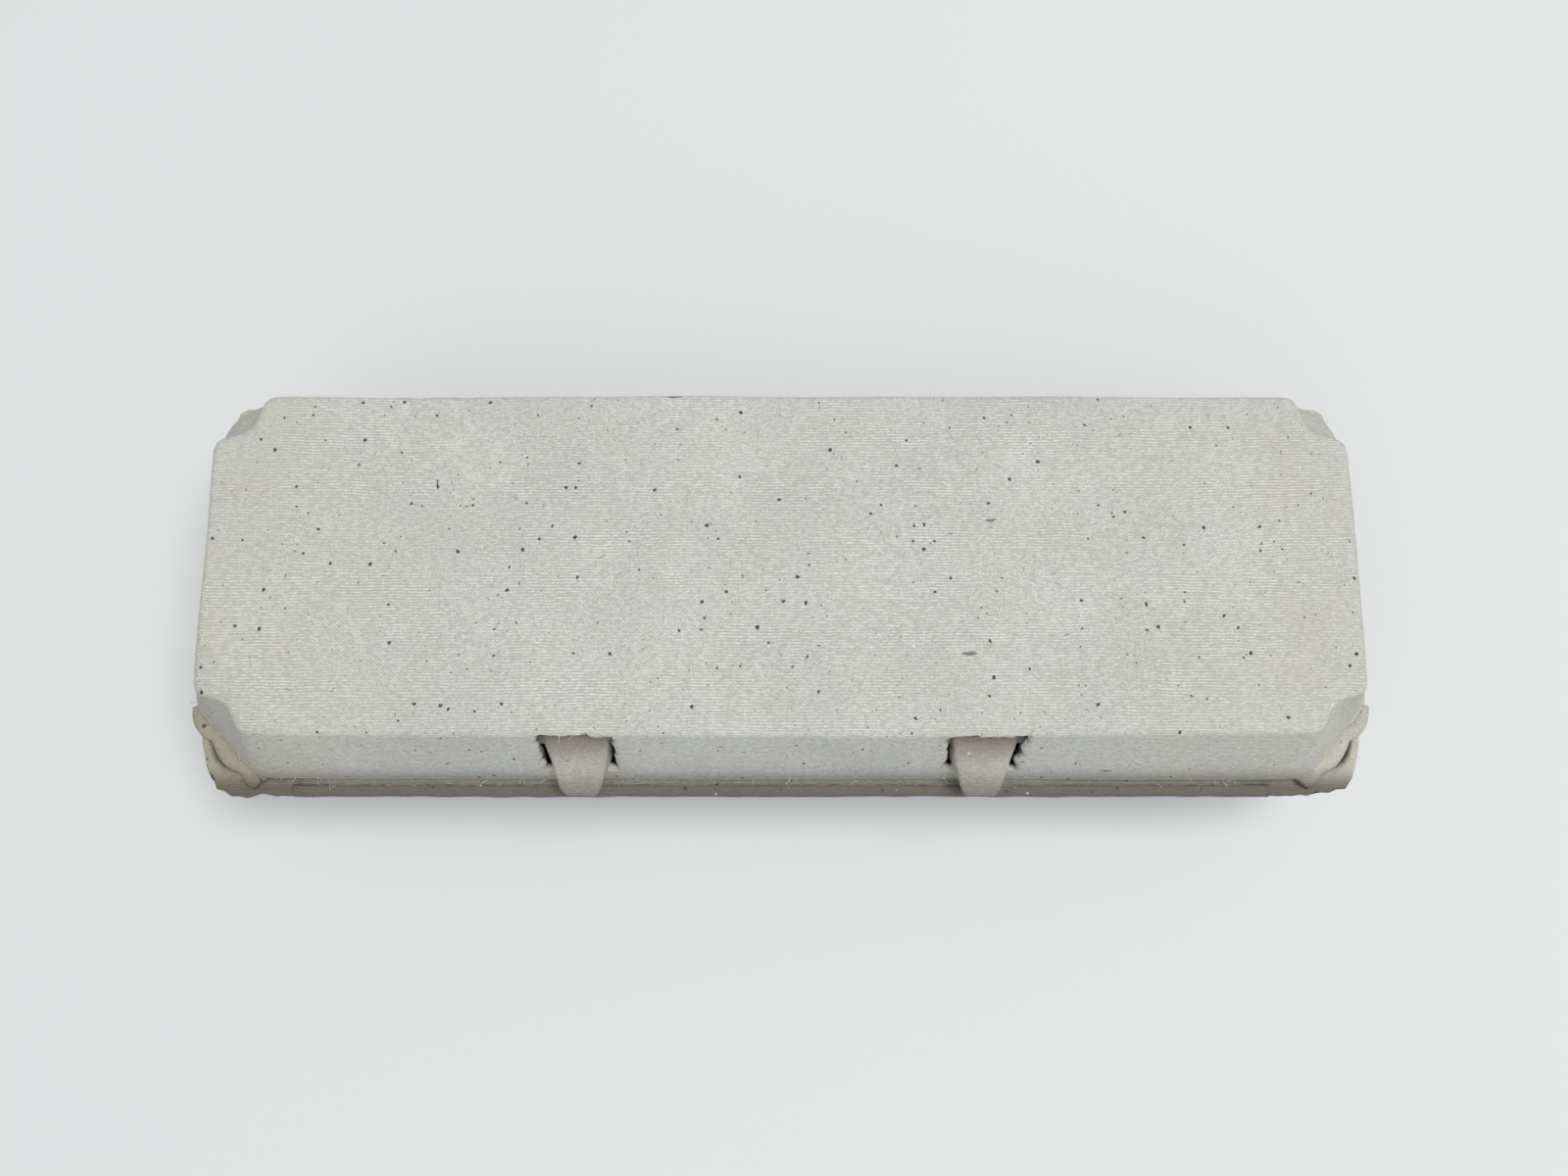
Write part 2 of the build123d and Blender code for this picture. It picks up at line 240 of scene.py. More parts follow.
def bent(start: np.ndarray, corner: np.ndarray, finish: np.ndarray, count: int) -> list[np.ndarray]:
    """Rounds a corner.

    Args:
        start: Where the turn begins.
        corner: The sharp corner that it leans towards.
        finish: Where it ends.
        count: How many steps to give.

    Returns:
        The steps from start to finish.
    """
    shares = np.linspace(0, 1, count)
    return [start * (1 - s) ** 2 + corner * 2 * s * (1 - s) + finish * s**2 for s in shares]


def stations(end: float, opening: float, spacing: float) -> np.ndarray:
    """Places columns along the front, with one at each side of both latch openings.

    Args:
        end: Half length of the row.
        opening: Half width of an opening.
        spacing: Widest step between columns, roughly.

    Returns:
        X of each column.
    """
    marks = [CELL_PITCH - opening, CELL_PITCH + opening]
    stops = [-end, *[-mark for mark in reversed(marks)], *marks, end]
    parts = []
    for low, high in zip(stops, stops[1:]):
        parts.append(np.linspace(low, high, max(2, round((high - low) / spacing)) + 1)[:-1])
    return np.concatenate([*parts, [end]])


@dataclass
class Sheet:
    """Makes a closed mesh of moulded pulp from the grid of its show side.

    Attributes:
        name: The piece's name.
        grid: Its show side.
        thickness: Of the pulp.
        waviness: How far the sheet departs from true.
        wave_length: Distance between its waves.
        seed: Fixes its waves and raw edges.
        bulge: How far raw edges are rounded out, as a share of the thickness.
        tears: Fineness of the coarse and the fine tears along raw edges.
    """

    name: str
    grid: Grid
    thickness: float = PULP
    waviness: float = 0.15
    wave_length: float = 34.0
    seed: int = 1
    bulge: float = 0.22
    tears: tuple[float, float] = (0.45, 1.3)

    def build(self) -> bpy.types.Object:
        """Closes the sheet and makes its mesh.

        Returns:
            The object, at the origin, with the point attribute raw_edge: 1 on raw edges, fading inwards.
        """
        grid = self.grid.weld()
        normals = grid.normals()
        front = grid.points + normals * (
            self.waviness * wave(grid.points, self.wave_length, self.seed)
        )[:, None]
        edge = grid.edge()
        outward = np.zeros_like(front)
        run = front[edge[:, 1]] - front[edge[:, 0]]
        for side in range(2):
            np.add.at(outward, edge[:, side], np.cross(run, normals[edge[:, side]]))
        rim = np.unique(edge)
        outward[rim] /= np.maximum(np.linalg.norm(outward[rim], axis=1, keepdims=True), 1e-9)
        shift = Vector((self.seed * 7.3, 0, 0))
        for point in rim:
            spot = Vector(front[point])
            coarse, fine = (noise.noise(spot * tear + shift) for tear in self.tears)
            amount = coarse + 0.7 * fine
            front[point] += outward[point] * grid.rag[point] * amount
        back = front - self.backing(grid, normals)
        middle = (front[rim] + back[rim]) / 2 + outward[rim] * self.bulge * self.thickness
        place = np.full(len(front), -1)
        place[rim] = np.arange(len(rim)) + 2 * len(front)
        points = np.vstack([front, back, middle])
        points[:, 2] = np.maximum(points[:, 2], FOOT_GAP)
        faces = [tuple(quad) for quad in grid.quads]
        faces += [tuple(quad[::-1] + len(front)) for quad in grid.quads]
        for a, b in edge:
            faces.append((b, a, place[a], place[b]))
            faces.append((place[b], place[a], a + len(front), b + len(front)))
        obj = plain_mesh(self.name, points, faces)
        self.mark_edges(obj, front[rim])
        return obj

    def backing(self, grid: Grid, normals: np.ndarray) -> np.ndarray:
        """Measures how far the back lies behind the front.

        Args:
            grid: The show side.
            normals: Its unit normals.

        Returns:
            A vector for each point.
        """
        flat = normals.copy()
        flat[:, 2] = 0
        lean = np.maximum(np.linalg.norm(flat, axis=1, keepdims=True), 0.5)
        level = grid.level[:, None]
        return self.thickness * (normals * (1 - level) + flat / lean**2 * level)

    def mark_edges(self, obj: bpy.types.Object, rim: np.ndarray, reach: float = 5.0) -> None:
        """Writes how near each point is to a raw edge.

        Args:
            obj: The finished sheet.
            rim: Positions along the raw edges.
            reach: Where the mark has faded out, in millimetres.
        """
        tree = kdtree.KDTree(len(rim))
        for number, spot in enumerate(rim):
            tree.insert(Vector(spot), number)
        tree.balance()
        values = [1 - min(tree.find(v.co / MM)[2] / reach, 1) for v in obj.data.vertices]
        layer = obj.data.attributes.new("raw_edge", "FLOAT", "POINT")
        layer.data.foreach_set("value", np.array(values, np.float32))


def place(name: str, data: bpy.types.ID) -> bpy.types.Object:
    """Puts an object in the scene.

    Args:
        name: The object's name.
        data: Its mesh, light or camera.

    Returns:
        The object, at the origin.
    """
    obj = bpy.data.objects.new(name, data)
    bpy.context.scene.collection.objects.link(obj)
    return obj


def plain_mesh(name: str, points: np.ndarray, faces: list[tuple[int, ...]]) -> bpy.types.Object:
    """Makes a smooth-shaded object from points in millimetres.

    Args:
        name: The object's name.
        points: Positions in millimetres.
        faces: Corner indices; repeated corners are dropped.

    Returns:
        The object, at the origin and in the scene.
    """
    tidy = []
    for face in faces:
        corners = [int(c) for n, c in enumerate(face) if c != face[n - 1]]
        if len(corners) > 2:
            tidy.append(corners)
    mesh = bpy.data.meshes.new(name)
    mesh.from_pydata((points * MM).tolist(), [], tidy)
    mesh.polygons.foreach_set("use_smooth", [True] * len(mesh.polygons))
    mesh.validate()
    mesh.update()
    return place(name, mesh)


def smoothed(corners: np.ndarray, rounds: int = 2) -> np.ndarray:
    """Cuts the corners of an open line of points, keeping its ends.

    Args:
        corners: The line's points.
        rounds: How often every corner is cut.

    Returns:
        The smoothed line.
    """
    line = corners
    for _ in range(rounds):
        near, far = line[:-1] * 0.75 + line[1:] * 0.25, line[:-1] * 0.25 + line[1:] * 0.75
        inner = np.stack([near, far], axis=1).reshape(-1, line.shape[1])
        line = np.vstack([line[:1], inner[1:-1], line[-1:]])
    return line


# ------------------------------------------------------------------ the tray


@dataclass
class Tray:
    """Two rows of cups under a sloping wall and a flange, with posts between the cups."""

    pitch: float = CELL_PITCH
    row_scale: float = 46.4 / 48.8
    columns: int = 6
    foot_half: float = 12.6
    foot_radius: float = 7.0
    mouth_half: float = 22.6
    mouth_radius: float = 14.0
    wall_slope: float = 2.57
    land: float = 26.0
    saddle: float = 2.4
    rim: float = 39.95
    eighth: int = 12
    fold_half_length: float = 122.0
    flange_reach: tuple[float, float, float] = (2.2, 7.4, 7.8)
    post_hole: float = 6.2
    lip_start: tuple[float, float] = (147.3, LID_FRONT_Y + 8.2)
    lip_stop: tuple[float, float] = (130.8, LID_FRONT_Y - 11.0)
    lip_reach: tuple[tuple[float, float], ...] = (
        *((0.0, 0.2), (1.6, 1.4), (3.6, 2.3), (6.0, 2.4), (7.4, 1.9), (8.4, 1.0), (10.4, 1.5), (12.6, 2.1)),
        *((15.6, 2.3), (17.6, 1.6), (19.2, 0.7), (21.0, 0.5), (22.2, 1.2), (23.6, 1.1), (24.9, 0.2)),
    )
    rings: tuple[float, ...] = (
        *(0.0, 2.2, 4.4, 6.4, 8.2, 9.6, 10.7, 11.6, 12.4, 13.2, 14.0, 14.8, 15.6, 16.4, 17.2),
        *(18.0, 18.8, 19.6, 20.4, 21.2, 21.9, 22.6, 23.2, 23.8, 24.4),
    )
    squeezed_from: float = 21.0
    flange_shares: tuple[float, ...] = (
        *(0.0, 0.03, 0.06, 0.09, 0.12, 0.15, 0.195, 0.27),
        *(0.37, 0.48, 0.6, 0.72, 0.84, 0.93, 1.0),
    )
    flange_climb: tuple[float, ...] = (
        *(0.0, 0.15, 0.3, 0.46, 0.61, 0.76, 0.87, 0.95),
        *(0.985, 1.0, 1.0, 1.0, 1.0, 0.99, 0.97),
    )
    lip_across: tuple[float, ...] = (0.0, 0.18, 0.36, 0.52, 0.66, 0.78, 0.88, 0.95, 0.99, 1.01, 1.03)
    lip_rise: tuple[float, ...] = (0.0, 0.05, 0.1, 0.14, 0.3, 0.5, 0.62, 0.56, 0.3, -0.15, -0.6)
    lip_tuck: float = 2.6
    post_top: float = 59.6
    post_radius: float = 4.8

    def quarter(self, half: float, radius: float) -> np.ndarray:
        """Lays out a quarter of a rounded square.

        Args:
            half: Half width of the square.
            radius: Of its corners.

        Returns:
            X and Y of points from the middle of its +X side to the middle of its +Y side.
        """
        straight = half - radius
        along = np.linspace(0, straight + radius * math.pi / 4, self.eighth + 1)
        turn = np.maximum(along - straight, 0) / radius
        y = np.minimum(along, straight) + radius * np.sin(turn)
        first = np.stack([straight + radius * np.cos(turn), y], axis=1)
        return np.vstack([first, first[-2::-1, ::-1]])

    def outside(self, x: np.ndarray, y: np.ndarray) -> np.ndarray:
        """Measures from the inner face of the wall.

        Args:
            x: Of the places.
            y: Of the places.

        Returns:
            Their distances, negative inside the wall.
        """
        half_x = 2.5 * self.pitch + self.mouth_half - self.mouth_radius
        half_y = 0.5 * self.pitch + self.mouth_half - self.mouth_radius
        dx, dy = np.abs(x) - half_x, np.abs(y) - half_y
        corner = np.hypot(np.maximum(dx, 0), np.maximum(dy, 0))
        return corner + np.minimum(np.maximum(dx, dy), 0) - self.mouth_radius

    def ceiling(self, points: np.ndarray) -> np.ndarray:
        """Finds the ridges between cups, dipping between posts and rising at the wall.

        Args:
            points: X and Y of the places.

        Returns:
            The ridges' height at each.
        """
        x, y = points[:, 0], np.abs(points[:, 1])
        dip = np.cos(math.pi * x / self.pitch) ** 2 * (y < self.pitch / 4)
        dip = dip + np.cos(math.pi * (y - self.pitch / 2) / self.pitch) ** 2 * (y >= self.pitch / 4)
        near_wall = ease(1 + self.outside(x, y) / 3.0)
        return self.land - self.saddle * dip * (1 - near_wall) + 12 * near_wall

    def cup(self, column: int, row: int) -> Grid:
        """One cup out to its cell's border.

        Args:
            column: From 0 at the left.
            row: -1 at the latch side, 1 at the hinge side.

        Returns:
            The cup's show side.
        """
        centre = np.array([(column - (self.columns - 1) / 2) * self.pitch, row * self.pitch / 2])
        side = -1 if column == 0 else 1 if column == self.columns - 1 else 0
        rows = []
        for reach in self.rings:
            grown = np.clip((reach - self.foot_half) / (self.mouth_half - self.foot_half), 0, 1)
            open_radius = self.foot_radius + grown * (self.mouth_radius - self.foot_radius)
            opening = np.clip((self.pitch / 2 - reach) / (self.pitch / 2 - self.mouth_half), 0, 1)
            loop = []
            for sx, sy in ((1, 1), (-1, 1), (-1, -1), (1, -1)):
                radius = open_radius if (sx, sy) == (side, row) else open_radius * opening
                radius = np.clip(radius, 1e-4, max(reach, 1e-4))
                quarter = self.quarter(reach, radius) * (sx, sy)
                loop.append(quarter[:-1] if sx * sy > 0 else quarter[:0:-1])
            local = np.vstack(loop)
            squeeze = (self.mouth_half - self.squeezed_from) / (self.pitch / 2 - self.squeezed_from)
            for axis, toward in ((0, side), (1, row)):
                beyond = local[:, axis] * toward - self.squeezed_from
                local[:, axis] -= toward * np.maximum(beyond, 0) * (1 - squeeze)
            spot = local + centre
            height = np.full(len(spot), PULP + (reach - self.foot_half) * self.wall_slope)
            height = smooth_low(height, self.ceiling(spot), 2.6)
            crown = 0.9 * math.exp(-((reach / 6.5) ** 2))
            spot = spot * (1.0, self.row_scale)
            rows.append(np.column_stack([spot, smooth_high(height, PULP + crown, 3.4)]))
        return Grid.from_rows(rows, closed=True)

    def flange(self, cups: Grid) -> Grid:
        """Grows the wall above the cups and the flange from the cups' outer border.

        Args:
            cups: All cups, welded.

        Returns:
            The wall and the flange.
        """
        follow = {int(a): int(b) for a, b in cups.edge()}
        start = min(follow, key=lambda point: cups.points[point][0] + cups.points[point][1])
        loop = [start]
        while follow[loop[-1]] != start:
            loop.append(follow[loop[-1]])
        base = cups.points[loop]
        normal = outward_of(base)
        at_fold = np.abs(base[:, 0]) < self.fold_half_length - 0.8
        end_reach, front_reach, rear_reach = self.flange_reach
        reach_y = np.where(base[:, 1] < 0, front_reach, rear_reach)
        limit = np.where((base[:, 1] > 0) | at_fold, HINGE_Y - 0.9, HINGE_Y + PULP)
        rows = []
        for share, rise in zip(self.flange_shares, self.flange_climb):
            x = base[:, 0] + share * end_reach * normal[:, 0]
            y = base[:, 1] + share * reach_y * normal[:, 1]
            allowed = np.abs(base[:, 1]) + (limit - np.abs(base[:, 1])) * share
            y = np.sign(y) * np.minimum(np.abs(y), np.maximum(allowed, np.abs(base[:, 1])))
            height = base[:, 2] + (self.rim - base[:, 2]) * rise
            rows.append(np.column_stack([x, y, height]))
        grid = Grid.from_rows(rows, closed=True, rag=0.35)
        outer = len(base) * (len(rows) - 2)
        at_corner = ease((np.abs(grid.points[outer:, 0]) - 126) / 6) * (grid.points[outer:, 1] < -30)
        grid.rag[outer:] = 0.15 + 1.1 * at_corner
        return grid

    def sheet(self) -> bpy.types.Object:
        """The tray's cups, ridges, wall and flange as one sheet."""
        cups = None
        for row in (-1, 1):
            for column in range(self.columns):
                cup = self.cup(column, row)
                cups = cup if cups is None else cups.join(cup)
        cups = cups.weld()
        whole = cups.join(self.flange(cups)).weld()
        middle = whole.middles()
        gone = np.zeros(len(middle), bool)
        for x in self.post_places():
            gone |= np.hypot(middle[:, 0] - x, middle[:, 1]) < self.post_hole
        return Sheet("tray_shell", whole.without(gone), waviness=0.18, seed=3).build()

    def post_places(self) -> list[float]:
        """Where the posts stand along the carton."""
        return [(number - (self.columns - 2) / 2) * self.pitch for number in range(self.columns - 1)]

    def post(self) -> bpy.types.Object:
        """One hollow post at the origin, flaring into the ridges around it."""
        around = np.linspace(0, 2 * math.pi, 48, endpoint=False)
        ring = np.stack([np.cos(around), np.sin(around)], axis=1)
        lobes = np.cos(2 * around) ** 2
        rows = []
        for share in np.linspace(0, 1, 30):
            height = self.land - 0.7 + share * (self.post_top - self.land)
            flare = math.exp(-share / 0.09)
            radius = 7.2 - 2.4 * share + flare * (2.2 + 3.4 * lobes) + 0.5 * (1 - share) * lobes
            rows.append(level_row(radius[:, None] * ring, height))
        for turn in np.linspace(0.12, 1, 8):
            angle = turn * math.pi / 2
            radius, height = self.post_radius * math.cos(angle), 58.9 + 1.1 * math.sin(angle)
            rows.append(level_row(radius * ring, height))
        grid = Grid.from_rows(rows[::-1], closed=True, rag=0.0)
        return Sheet("post_pattern", grid, thickness=1.6, waviness=0.1, wave_length=14, seed=8).build()

    def corner_lip(self, side: int) -> bpy.types.Object:
        """Makes the torn lip between the lid's cut corner and the flange.

        Args:
            side: -1 on the left and 1 on the right.

        Returns:
            The lip.
        """
        start, stop = np.array(self.lip_start), np.array(self.lip_stop)
        length = np.linalg.norm(stop - start)
        along = (stop - start) / length
        outward = np.array([-along[1], along[0]])
        knots = smoothed(np.array(self.lip_reach), 2)
        places = np.linspace(0, length, 64)
        reach = np.interp(places, knots[:, 0], knots[:, 1])
        rows = []
        for share, lift in zip(self.lip_across, self.lip_rise):
            out = -self.lip_tuck + (reach + self.lip_tuck) * share
            spot = start + places[:, None] * along + out[:, None] * outward
            rows.append(level_row(spot * (side, 1), self.rim + 0.6 + lift))
        grid = Grid.from_rows(rows if side > 0 else rows[::-1], closed=False, rag=0.25)
        look = {"thickness": 1.7, "waviness": 0.12, "wave_length": 7}
        return Sheet(f"corner_lip_{SIDES[side]}", grid, seed=5 + side, **look).build()


# ------------------------------------------------------------------ the lid


@dataclass(frozen=True)
class LidCorner:
    """One corner of the lid.

    Attributes:
        top: What it takes off along X and along Y at the top panel.
        bottom: What it takes off at the raw edge.
        bow: How far it is bitten in at its middle, at the top panel and at the raw edge.
    """

    top: tuple[float, float]
    bottom: tuple[float, float]
    bow: tuple[float, float]

    def at(self, share: np.ndarray) -> tuple[np.ndarray, np.ndarray, np.ndarray]:
        """Works out the corner part of the way down.

        Args:
            share: 0 at the top panel and 1 at the raw edge.

        Returns:
            The cut along X, the cut along Y and the bow.
        """
        cut_x = self.top[0] + (self.bottom[0] - self.top[0]) * share
        cut_y = self.top[1] + (self.bottom[1] - self.top[1]) * share
        return cut_x, cut_y, self.bow[0] + (self.bow[1] - self.bow[0]) * ease(share)


@dataclass
class Lid:
    """A shallow lid with leaning walls, bitten corners and two latch windows."""

    front_bottom: float = 43.3
    half_length: float = 138.0
    rear: float = 43.9
    end_lean: float = 0.393
    rear_lean: float = 0.245
    front_corner: LidCorner = LidCorner((11.8, 9.6), (17.0, 19.3), (2.6, -0.3))
    rear_corner: LidCorner = LidCorner((12.6, 11.8), (15.5, 15.5), (3.4, -4.8))
    fold_size: float = 1.3
    front_sag: float = 1.0
    window_top: float = 9.9
    window_bottom: float = 9.0
    sill: float = 47.6
    corner_count: int = 20
    side_count: int = 46
    spine_half: float = 83.0
    panel_sag: float = 0.7
    panel_rings: tuple[float, ...] = (
        *(41.0, 38.0, 35.0, 32.0, 29.0, 26.0, 23.0, 20.0),
        *(17.0, 14.0, 11.0, 8.6, 6.6, 5.0, 3.6, 2.4),
    )
    lower_rows: tuple[tuple[float, float], ...] = (
        *((0.14, 0.0), (0.28, 0.0), (0.42, 0.0), (0.56, 0.0), (0.7, 0.0)),
        *((0.84, 0.0), (0.93, 0.12), (0.975, 0.45), (1.0, 0.85)),
    )

    def front_places(self) -> np.ndarray:
        """Where the columns of the front and rear walls stand along the carton."""
        return stations(self.half_length - self.front_corner.top[0], self.window_top, 1.15)

    def edge_y(self, facing: int, depth: np.ndarray) -> np.ndarray:
        """Y of the front (-1) or rear (1) face at a depth below the top panel."""
        return self.rear + self.rear_lean * depth if facing > 0 else LID_FRONT_Y - LID_FRONT_LEAN * depth

    def outline(self, depth: np.ndarray) -> np.ndarray:
        """The lid's outline, counter-clockwise from the front wall's left end.

        Args:
            depth: For each column, how far its point lies below the top panel.

        Returns:
            X and Y of each column's point.
        """
        places = self.front_places()
        long, side = len(places), self.side_count
        parts, at = [], 0
        for facing in (-1, 1):
            here, ahead = (self.front_corner, self.rear_corner)[:: -facing]
            span = slice(at, at + long)
            cut_x = here.at(self.share(depth[span]))[0]
            grown = self.half_x(depth[span]) - cut_x - places[-1]
            spread = np.clip((np.abs(places) - 84) / (places[-1] - 84), 0, 1) ** 1.5
            x = places + np.sign(places) * grown * spread
            fading = (1 - self.share(depth[span])).clip(0)
            sag = self.front_sag * (1 - (x / places[-1]) ** 2).clip(0) * fading
            y = self.edge_y(facing, depth[span]) - (sag if facing < 0 else 0)
            parts.append(np.stack([-facing * x, y], axis=1))
            at += long
            parts.append(self.corner(depth[at : at + self.corner_count], here, -facing, facing))
            at += self.corner_count
            down = depth[at : at + side]
            start = self.edge_y(facing, down) - facing * here.at(self.share(down))[1]
            stop = self.edge_y(-facing, down) + facing * ahead.at(self.share(down))[1]
            y = start + (stop - start) * np.linspace(0, 1, side)
            parts.append(np.stack([-facing * self.half_x(down), y], axis=1))
            at += side
            parts.append(self.corner(depth[at : at + self.corner_count], ahead, -facing, -facing))
            at += self.corner_count
        return self.softened(np.vstack(parts))

    def softened(self, loop: np.ndarray) -> np.ndarray:
        """Rounds the turns near the outline's corners.

        Args:
            loop: The outline.

        Returns:
            The rounded outline.
        """
        near = ease((np.abs(loop[:, :1]) - 112) / 6)
        for _ in range(3):
            ahead, back = np.roll(loop, -1, axis=0), np.roll(loop, 1, axis=0)
            loop = loop + near * ((ahead + back) / 2 - loop) * 0.8
        return loop

    def share(self, depth: np.ndarray) -> np.ndarray:
        """How far down the wall a depth lies, 0 at the top panel and 1 at the raw edge."""
        return np.clip(depth / (LID_TOP_Z - RAW_EDGE_Z), -0.1, 1.1)

    def half_x(self, depth: np.ndarray) -> np.ndarray:
        """Half length of the outline at a depth below the top panel."""
        return self.half_length + self.end_lean * depth

    def corner(self, depth: np.ndarray, shape: LidCorner, sx: int, sy: int) -> np.ndarray:
        """One corner of the outline, between a long wall and an end wall.

        Args:
            depth: How far each of its points lies below the top panel.
            shape: The corner's cuts and bow.
            sx: Which end the corner is at, -1 or 1.
            sy: Which side the corner is at, -1 or 1.

        Returns:
            X and Y of its points, counter-clockwise.
        """
        turn = (np.arange(len(depth)) + 1) / (len(depth) + 1)
        if sx * sy > 0:
            turn = 1 - turn
        cut_x, cut_y, bow = shape.at(self.share(depth))
        size = np.hypot(cut_x, cut_y)
        dip = bow.clip(0) * np.sin(math.pi * turn) ** 2 + bow.clip(max=0) * 4 * turn * (1 - turn)
        x = self.half_x(depth) - cut_x * (1 - turn) - dip * cut_y / size
        y = self.edge_y(sy, depth) - sy * (cut_y * turn + dip * cut_x / size)
        return np.stack([sx * x, y], axis=1)

    def grid(self) -> Grid:
        """Lays out the lid's show side, from the middle of its panel out and down to its raw edge.

        Returns:
            The show side, with its windows still closed.
        """
        flat = self.outline(np.zeros(self.columns()))
        half_depth, middle = (self.rear - LID_FRONT_Y) / 2, (self.rear + LID_FRONT_Y) / 2
        spine_x = np.clip(flat[:, 0], -self.spine_half, self.spine_half)
        inward = (np.stack([spine_x, np.full(len(flat), middle)], axis=1) - flat) / half_depth
        rows = []
        for reach in self.panel_rings:
            rows.append(level_row(flat + inward * reach, LID_TOP_Z - self.panel_sag * ease(reach / 34)))
        wall_depth = np.full(len(flat), self.fold_size * 0.92)
        start = level_row(flat + inward * self.fold_size, LID_TOP_Z)
        finish = level_row(self.outline(wall_depth), LID_TOP_Z - wall_depth)
        rows += bent(start, level_row(flat, LID_TOP_Z), finish, 7)
        rear = self.rear_share()
        end = RAW_EDGE_Z + (self.front_bottom - RAW_EDGE_Z) * self.front_share() + 1.5 * rear
        for depth in np.linspace(wall_depth[0], LID_TOP_Z - self.sill, 20)[1:]:
            rows.append(self.wall_row(np.full(len(flat), depth), 0 * rear))
        flare = np.where(np.abs(flat[:, 0]) < self.half_length - 4, 0.15, 0.6)
        flare = flare - (flare + 0.6) * ease((flat[:, 1] - 24) / 8)
        for share, out in self.lower_rows:
            height = self.sill + (end - self.sill) * share
            rows.append(self.wall_row(LID_TOP_Z - height, out * flare))
        lip = rows[-1].copy()
        lip[:, 1] += rear * (HINGE_Y - 0.7 - lip[:, 1])
        lip[:, 2] += rear * (RAW_EDGE_Z + 1.4 - lip[:, 2]) - 0.12 * (1 - rear)
        rows.append(lip)
        grid = Grid.from_rows(rows, closed=True, rag=0.22)
        for number in range(len(rows)):
            grid.level[number * len(flat) : (number + 1) * len(flat)] = ease((number - 22) / 6) * (1 - rear)
        return grid

    def columns(self) -> int:
        """How many points go round the outline."""
        return 2 * len(self.front_places()) + 2 * self.side_count + 4 * self.corner_count

    def front_share(self) -> np.ndarray:
        """1 along the front wall and its corners, fading out on the end walls."""
        return 1 - ease((self.outline(np.zeros(self.columns()))[:, 1] - LID_FRONT_Y - 10.6) / 7)

    def rear_share(self) -> np.ndarray:
        """1 along the rear wall's flange strip, 0 elsewhere."""
        x, y = self.outline(np.zeros(self.columns())).T
        return np.where(y > 0, 1 - ease((np.abs(x) - 115.4) / 1.2), 0)

    def wall_row(self, depth: np.ndarray, out: np.ndarray) -> np.ndarray:
        """One row of points round the walls.

        Args:
            depth: How far each point lies below the top panel.
            out: How far each point is turned out from the wall.

        Returns:
            The row's points.
        """
        spot = self.outline(depth)
        return level_row(spot + outward_of(spot) * out[:, None], LID_TOP_Z - depth)

    def sheet(self) -> bpy.types.Object:
        """The lid as one sheet with its windows torn open."""
        grid = self.grid()
        points = grid.points
        for centre in (-CELL_PITCH, CELL_PITCH):
            off = points[:, 0] - centre
            share = np.clip((LID_TOP_Z - points[:, 2]) / (LID_TOP_Z - self.sill), 0, 1)
            near = np.exp(-(((np.abs(off) - self.window_top) / 2.5) ** 2))
            near = near * (points[:, 1] < LID_FRONT_Y + 1)
            points[:, 0] -= np.sign(off) * (self.window_top - self.window_bottom) * share * near
            beside = (np.abs(off) < self.window_top + 1) & (points[:, 1] < 0)
            grid.rag[beside & (points[:, 2] > self.sill - 0.4)] = 1.1
        middle = grid.middles()
        gone = np.zeros(len(middle), bool)
        tall = (middle[:, 1] < LID_FRONT_Y) & (middle[:, 2] > self.sill) & (middle[:, 2] < LID_TOP_Z - 0.9)
        for centre in (-CELL_PITCH, CELL_PITCH):
            gone |= tall & (np.abs(middle[:, 0] - centre) < self.window_top - 0.3)
        return Sheet("lid_shell", grid.without(gone), waviness=0.22, wave_length=46, seed=11).build()


# ------------------------------------------------------------------ the locking flap


